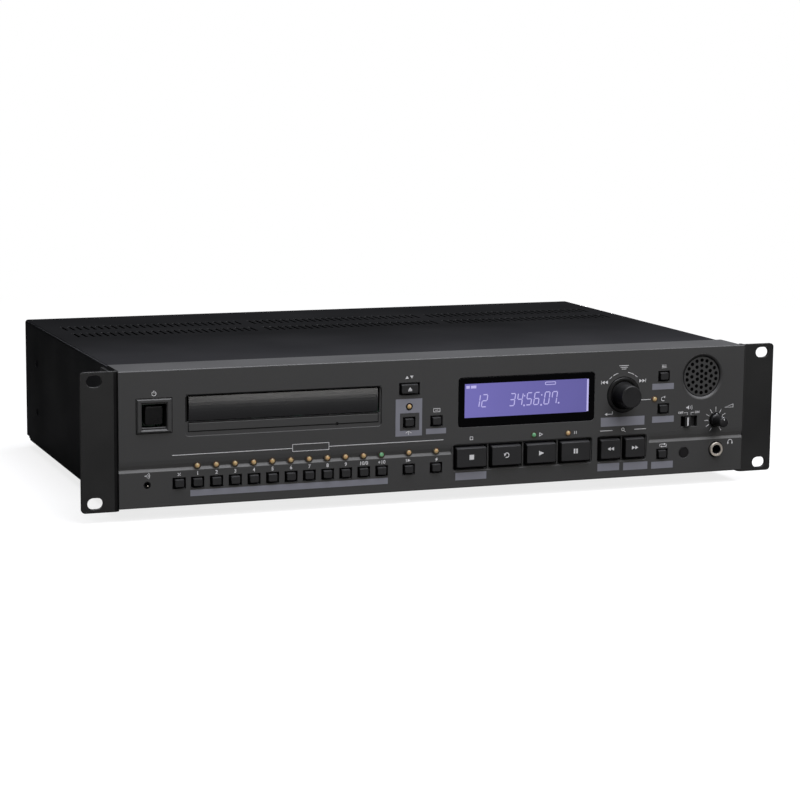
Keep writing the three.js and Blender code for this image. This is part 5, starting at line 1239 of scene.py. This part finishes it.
class PLAYER_OT_display(bpy.types.Operator):
    """Fit the lit glass of the display and its plain digits"""

    bl_idname = "player.display"
    bl_label = "Display"

    def execute(self, context):
        low = front_of("display_window")
        bm = bmesh.new()
        ink(bm, span(12.4, 100.0, 3.6, 25.9), low=low)
        add_piece("display_glass", bm, "display_glow")
        top = low + PRINT
        bm = bmesh.new()
        for digit, u in zip("12", (21.2, 26.4)):
            segment_digit(bm, digit, u, 14.4, top)
        for digit, u in zip("345607", (46.2, 51.6, 58.2, 63.6, 71.0, 76.4)):
            segment_digit(bm, digit, u, 14.2, top)
        for u, v in ((54.6, 10.0), (66.9, 9.8), (79.5, 10.6)):
            ink(bm, rectangle(u, v, 1.1, 1.1), low=top)
        for u in (54.9, 67.2):
            ink(bm, rectangle(u, 16.4, 0.9, 0.9), low=top)
        ink(bm, span(13.4, 15.8, 22.9, 24.7), low=top)
        ink(bm, span(16.6, 20.4, 22.9, 24.7), low=top)
        ink_line(bm, rounded(73.4, 23.9, 7.4, 1.7, 0.6, 3), 0.45, low=top, closed=True)
        add_piece("display_digits", bm, "display_segment")
        # Painted reflection: a pale lit strip along the glass's right edge, standing for the display's glow caught in
        # the edge beside it.
        bm = bmesh.new()
        ink(bm, span(100.0, 101.3, 4.0, 25.6), low=low)
        add_piece("display_edge_light", bm, "display_segment")
        return {"FINISHED"}


class PLAYER_OT_jog_dial(bpy.types.Operator):
    """Fit the smooth turned jog dial in place of the plain one"""

    bl_idname = "player.jog_dial"
    bl_label = "Jog dial"

    def execute(self, context):
        u, v = middle("jog_dial")
        back, front = 0.1, front_of("jog_dial")
        bm = bmesh.new()
        bore, skirt, flat, ease = 3.15, 8.6, 6.9, 0.45
        profile = [(bore, back), (skirt, back), (skirt, back + 0.9), (8.35, back + 1.3), (8.2, back + 2.0)]
        profile += [(flat + ease, front - ease)] + eased_end(flat, front, ease)
        profile += [(6.4, front - 0.02), (0, front - 0.15)]
        turned(bm, profile, u, v, FRONT, 96)
        piece = add_piece("jog_dial_turned", bm, "knob_abs", "jog_dial_body", smooth=40)
        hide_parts("jog_dial")
        bm = bmesh.new()
        collar = [(9.7, 0), (9.7, 0.3), (9.95, 0.55), (11.2, 0.55), (11.6, 0.25), (11.6, 0)]
        turned(bm, collar + collar[:1], u, v, FRONT, 96)
        add_piece("jog_collar", bm, "collar_plastic", smooth=35)
        # Painted shade: black rings in the groove round the dial's foot and round the collar's outer edge.
        bm = bmesh.new()
        for inner, outer in ((8.65, 9.7), (11.6, 12.2)):
            tube(bm, u, v, inner, outer, 0, PRINT, sides=96, where=FRONT)
        add_piece("jog_gaps", bm, "shadow_ink")
        return {"FINISHED"}


class PLAYER_OT_level_knob(bpy.types.Operator):
    """Fit the smooth level knob with its pointer, and print the marks round it"""

    bl_idname = "player.level_knob"
    bl_label = "Level knob"

    def execute(self, context):
        u, v = middle("level_knob")
        front = front_of("level_knob")
        bm = bmesh.new()
        back, skirt, flat, ease = -1.0, 4.3, 2.7, 0.7
        profile = [(0, back), (skirt, back), (skirt, 2.0), (4.1, 2.4), (3.55, 2.7), (flat + ease, front - ease)]
        profile += eased_end(flat, front, ease) + [(0, front)]
        turned(bm, profile, u, v, FRONT, 64)
        piece = add_piece("level_knob_turned", bm, "knob_abs", "level_knob_body", smooth=40)
        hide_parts("level_knob")
        bm = bmesh.new()
        stroke(bm, [(u + 0.1, v + 1.5), (u + 0.1, v + 2.7)], 0.55, front - 0.02, front + 0.03, FRONT)
        prism(bm, rectangle(u + 0.1, v + 3.43, 0.6, 0.1), front - 3.2, front - 1.0, FRONT)
        prism(bm, rectangle(u + 0.1, v + 4.32, 0.8, 0.1), 0.3, 1.7, FRONT)
        add_piece("level_pointer", bm, "legend_ink", "level_knob_body")
        bm = bmesh.new()
        count = sizes().level_marks
        for i in range(count):
            a = math.radians(240 - 300 * i / (count - 1))
            near, far = 5.7, 9.2 if i == count // 2 else 8.5
            ink_line(bm, [(u + r * math.cos(a), v + r * math.sin(a)) for r in (near, far)], 0.34)
        add_piece("level_marks", bm, "legend_ink")
        return {"FINISHED"}


class PLAYER_OT_speaker_dish(bpy.types.Operator):
    """Line the speaker dish with a smooth painted ring"""

    bl_idname = "player.speaker_dish"
    bl_label = "Speaker dish"

    def execute(self, context):
        u, v = 186.2, 23.4
        grille, pitch, rings, hole = -1.19, 3.7, 3, 1.22
        bm = bmesh.new()
        slope = [(15.88, 0.0), (15.8, 0.03), (15.4, -0.12), (14.3, -0.8), (13.85, -1.16), (13.85, -1.18)]
        turned(bm, slope + slope[:1], u, v, FRONT, 96)
        add_piece("speaker_dish_ring", bm, "bezel_enamel", smooth=40)
        # Painted shade: a near-black ring round the grille's disc, and a near-black disc in each hole.
        bm = bmesh.new()
        tube(bm, u, v, 13.4, 13.82, grille, grille + PRINT, sides=96, where=FRONT)
        for ring in range(rings + 1):
            for i in range(max(1, 6 * ring)):
                turn = math.radians(60 * i / max(1, ring))
                spot = (u + pitch * ring * math.sin(turn), v + pitch * ring * math.cos(turn))
                disc(bm, *spot, hole, grille, grille + 0.04, FRONT)
        add_piece("grille_holes", bm, "cloth_black")
        return {"FINISHED"}


class PLAYER_OT_front_jacks(bpy.types.Operator):
    """Fit the headphone socket's bright ring, with painted shade round it, and the remote socket's rim in painted shade
    """

    bl_idname = "player.front_jacks"
    bl_label = "Front sockets"

    def execute(self, context):
        u, v = middle("phones_jack")
        front = front_of("phones_jack")
        bm = bmesh.new()
        bore, rim = 3.2, 4.8
        ring = [(bore, front - 0.5), (bore, front + 0.12), (bore + 0.1, front + 0.2), (rim - 0.25, front + 0.2)]
        ring += [(rim, front), (rim, 0.02), (4.4, 0.02), (4.4, front - 0.5)]
        turned(bm, ring + ring[:1], u, v, FRONT, 64)
        add_piece("phones_ring", bm, "nickel_plate", smooth=35)
        # Painted shade: a dark ring round the headphone socket's ring, and a dark lining in the remote socket's rim.
        bm = bmesh.new()
        tube(bm, u, v, 4.85, 5.5, 0, PRINT, sides=64, where=FRONT)
        u, v = -200.0, -28.05
        turned(bm, [(1.75, -0.3), (1.75, PRINT), (2.3, PRINT), (2.3, 0.0), (1.75, -0.3)], u, v, FRONT, 32)
        add_piece("socket_surrounds", bm, "shadow_ink", smooth=35)
        bm = bmesh.new()
        turned(bm, [(0, -1.6), (0.5, -1.6), (0.5, -0.9), (0.3, -0.7), (0, -0.7)], u + 0.55, v - 0.75, FRONT, 16)
        add_piece("remote_contact", bm, "nickel_plate", smooth=35)
        return {"FINISHED"}


# Middles of the rear sockets, across and up the back, in millimetres
BALANCED = ((-184, -13.5), (-150, -13.5), (-84, -13.5))
PIN_SOCKETS = ((-118, -5.0), (-118, -20.0), (-56, -20.0))
DATA_SOCKETS = ((-20, -20.0), (15, -20.0))


class PLAYER_OT_balanced_sockets(bpy.types.Operator):
    """Fit the three-pin sockets at the back with their liners, pins and flange screws"""

    bl_idname = "player.balanced_sockets"
    bl_label = "Three-pin sockets"

    def execute(self, context):
        bore, inner, floor, shell, lip = 8.95, 8.55, -12.4, 1.5, 1.72
        for number, (u, v) in enumerate(BALANCED, 1):
            bm = bmesh.new()
            prism(bm, circle(u, v, bore), -13.45, floor, REAR, slot=1)
            liner = [(inner, floor), (inner, shell), (inner + 0.2, lip), (9.7, lip), (9.9, shell)]
            liner += [(bore, shell), (bore, floor)]
            turned(bm, liner + liner[:1], u, v, REAR, 64)
            for spot in arc(u, v - 0.4, 4.0, 90, 330, 2):
                pin(bm, *spot, 1.2, floor, -1.6)
            prism(bm, rectangle(u, v - 7.9, 2.4, 1.2), floor, 0.6, REAR, slot=1)
            add_piece(f"three_pin_fittings_{number}", bm, "nickel_plate works_abs", smooth=35)
            bm = bmesh.new()
            for k in (-1, 1):
                screw_head(bm, u + 9.6 * k, v + 9.6 * k, REAR @ Matrix.Translation((0, 0, shell)), 1.5, 0.7)
            add_piece(f"three_pin_screws_{number}", bm, "black_screw shadow_ink", smooth=40)
        return {"FINISHED"}


class PLAYER_OT_pin_sockets(bpy.types.Operator):
    """Fit the pin sockets at the back with their plated sleeves and coloured rings"""

    bl_idname = "player.pin_sockets"
    bl_label = "Pin sockets"

    def execute(self, context):
        bm = bmesh.new()
        for slot, (u, v) in enumerate(PIN_SOCKETS, 1):
            tube(bm, u, v, 4.1, 4.3, 0.5, 9.9)
            tube(bm, u, v, 4.3, 5.2, 0.0, 0.5)
            tube(bm, u, v, 3.9, 4.75, 1.1, 3.1, slot)
        add_piece("pin_socket_sleeves", bm, "nickel_plate ring_white ring_red ring_orange", smooth=35)
        bm = bmesh.new()
        for u, v in PIN_SOCKETS:
            tube(bm, u, v, 0.9, 1.65, 1.0, 9.6, sides=24)
        add_piece("pin_socket_contacts", bm, "nickel_plate", smooth=35)
        return {"FINISHED"}


class PLAYER_OT_data_sockets(bpy.types.Operator):
    """Fit the two data sockets at the back with their shells, flanges, holes and jack posts"""

    bl_idname = "player.data_sockets"
    bl_label = "Data sockets"

    def execute(self, context):
        mouth, body, post_top, dark, pitch, rows = 5.7, 5.6, 4.6, 0.06, 2.76, 2.84
        for number, ((u, v), width, holes) in enumerate(zip(DATA_SOCKETS, (25.0, 17.0), ((8, 7), (5, 4))), 1):
            bm = bmesh.new()
            outside = slanted(u, v, width + 0.9, 9.3)
            skirt = [
                (outside, 0.4), (outside, mouth),
                (slanted(u, v, width - 0.2, 8.2), mouth), (slanted(u, v, width + 0.02, 8.42), 0.4),
            ]
            loft(bm, skirt, REAR, ring=True)
            prism(bm, rounded(u, v, width + 14, 12.5, 1.5), 0.0, 0.55, REAR)
            # Painted shade: the holes in the jack posts and the socket's pin holes are dark discs.
            for k in (-1, 1):
                post = u + k * (width / 2 + 4.15)
                prism(bm, circle(post, v, 2.6, 6), 0.5, post_top, REAR)
                disc(bm, post, v, 1.3, post_top, post_top + dark, REAR, slot=1)
            for row, count in enumerate(holes):
                for i in range(count):
                    spot = (u + (i - (count - 1) / 2) * pitch, v + rows / 2 - rows * row)
                    disc(bm, *spot, 0.62, body, body + dark, REAR, 14, slot=1)
            add_piece(f"data_socket_{number}", bm, "plated_steel shadow_ink", smooth=35)
        return {"FINISHED"}


class PLAYER_OT_mains_inlet(bpy.types.Operator):
    """Fit the mains inlet's three blades and the screws of its flange"""

    bl_idname = "player.mains_inlet"
    bl_label = "Mains inlet"

    def execute(self, context):
        u, v = 178, -8.0
        bm = bmesh.new()
        for du, dv in ((0, 2.0), (-7, -2.0), (7, -2.0)):
            blade = rounded(u + du, v + dv, 2.0, 4.0, 0.3, 3)
            loft(bm, [(blade, -13.0), (blade, 1.2), (rounded(u + du, v + dv, 1.2, 3.2, 0.3, 3), 2.0)], REAR)
        add_piece("mains_blades", bm, "nickel_plate", smooth=35)
        bm = bmesh.new()
        for k in (-1, 1):
            screw_head(bm, u + 20 * k, v, REAR @ Matrix.Translation((0, 0, 3.0)), 2.4, 0.9)
        add_piece("mains_screws", bm, "black_screw shadow_ink", smooth=40)
        return {"FINISHED"}


class PLAYER_OT_rear_print(bpy.types.Operator):
    """Print the plain frames and numbers round the rear sockets"""

    bl_idname = "player.rear_print"
    bl_label = "Rear print"

    def execute(self, context):
        line = sizes().legend_line
        bm = bmesh.new()
        frames = (rounded(-152, -12.5, 98, 40, 2), rounded(-73.5, -12.5, 53, 40, 2), rounded(-3.5, -16.5, 80, 32, 2))
        for frame_line in frames:
            ink_line(bm, frame_line, line, REAR, closed=True)
        spots = ((-184, 3.2), (-150, 3.2), (-118, 3.2), (-84, 3.2), (-56, -11.0), (-20, -9.4), (15, -9.4))
        for number, (u, v) in enumerate(spots, 1):
            figures(bm, str(number), u, v, sizes().number_height, REAR)
        add_piece("rear_print", bm, "legend_ink")
        return {"FINISHED"}


class PLAYER_OT_screws(bpy.types.Operator):
    """Fit the screws of the cover, the rear panel and the underside"""

    bl_idname = "player.screws"
    bl_label = "Screws"

    def execute(self, context):
        centre = BODY_Y / MM
        sides = [(106.2 - centre, v) for v in (15.6, -19.3)]
        groups = {
            "cover_screws_left": (LEFT, [(-u, v) for u, v in sides]),
            "cover_screws_right": (RIGHT, sides),
            "rear_screws": (REAR, [(u, v) for u in (-208, -70, 70, 208) for v in (-36.5, 37.0)]),
            "base_screws": (UNDER, [(u, v) for u in (-150, 0, 150) for v in (-110, 110)]),
        }
        for name, (where, spots) in groups.items():
            bm = bmesh.new()
            for u, v in spots:
                screw_head(bm, u, v, where, 2.6, 0.9)
            add_piece(name, bm, "black_screw shadow_ink", smooth=40)
        return {"FINISHED"}


STEPS = (
    PLAYER_OT_stage, PLAYER_OT_casing, PLAYER_OT_controls, PLAYER_OT_drive, PLAYER_OT_key_caps,
    PLAYER_OT_face_print, PLAYER_OT_dark_gaps, PLAYER_OT_power_rim, PLAYER_OT_key_numbers, PLAYER_OT_plain_signs,
    PLAYER_OT_switch_print, PLAYER_OT_key_signs, PLAYER_OT_lamps, PLAYER_OT_display, PLAYER_OT_jog_dial,
    PLAYER_OT_level_knob, PLAYER_OT_speaker_dish, PLAYER_OT_front_jacks, PLAYER_OT_balanced_sockets,
    PLAYER_OT_pin_sockets, PLAYER_OT_data_sockets, PLAYER_OT_mains_inlet, PLAYER_OT_rear_print, PLAYER_OT_screws,
)


class PLAYER_PT_panel(bpy.types.Panel):
    """The player's steps, sizes and colours"""

    bl_idname = "PLAYER_PT_panel"
    bl_label = "Disc Player"
    bl_space_type = "VIEW_3D"
    bl_region_type = "UI"
    bl_category = "Disc Player"

    def draw(self, context):
        for step in STEPS:
            self.layout.operator(step.bl_idname)
        for name in GROUPS:
            settings = getattr(context.scene, name)
            box = self.layout.box()
            for key in settings.bl_rna.properties.keys():
                if key not in ("rna_type", "name"):
                    box.prop(settings, key)


def register():
    for name, group in GROUPS.items():
        bpy.utils.register_class(group)
        setattr(bpy.types.Scene, name, PointerProperty(type=group))
    for step in STEPS:
        bpy.utils.register_class(step)
    bpy.utils.register_class(PLAYER_PT_panel)


def unregister():
    bpy.utils.unregister_class(PLAYER_PT_panel)
    for step in reversed(STEPS):
        bpy.utils.unregister_class(step)
    for name, group in GROUPS.items():
        delattr(bpy.types.Scene, name)
        bpy.utils.unregister_class(group)


def main():
    register()
    for step in STEPS:
        space, name = step.bl_idname.split(".")
        getattr(getattr(bpy.ops, space), name)()


if __name__ == "__main__":
    main()
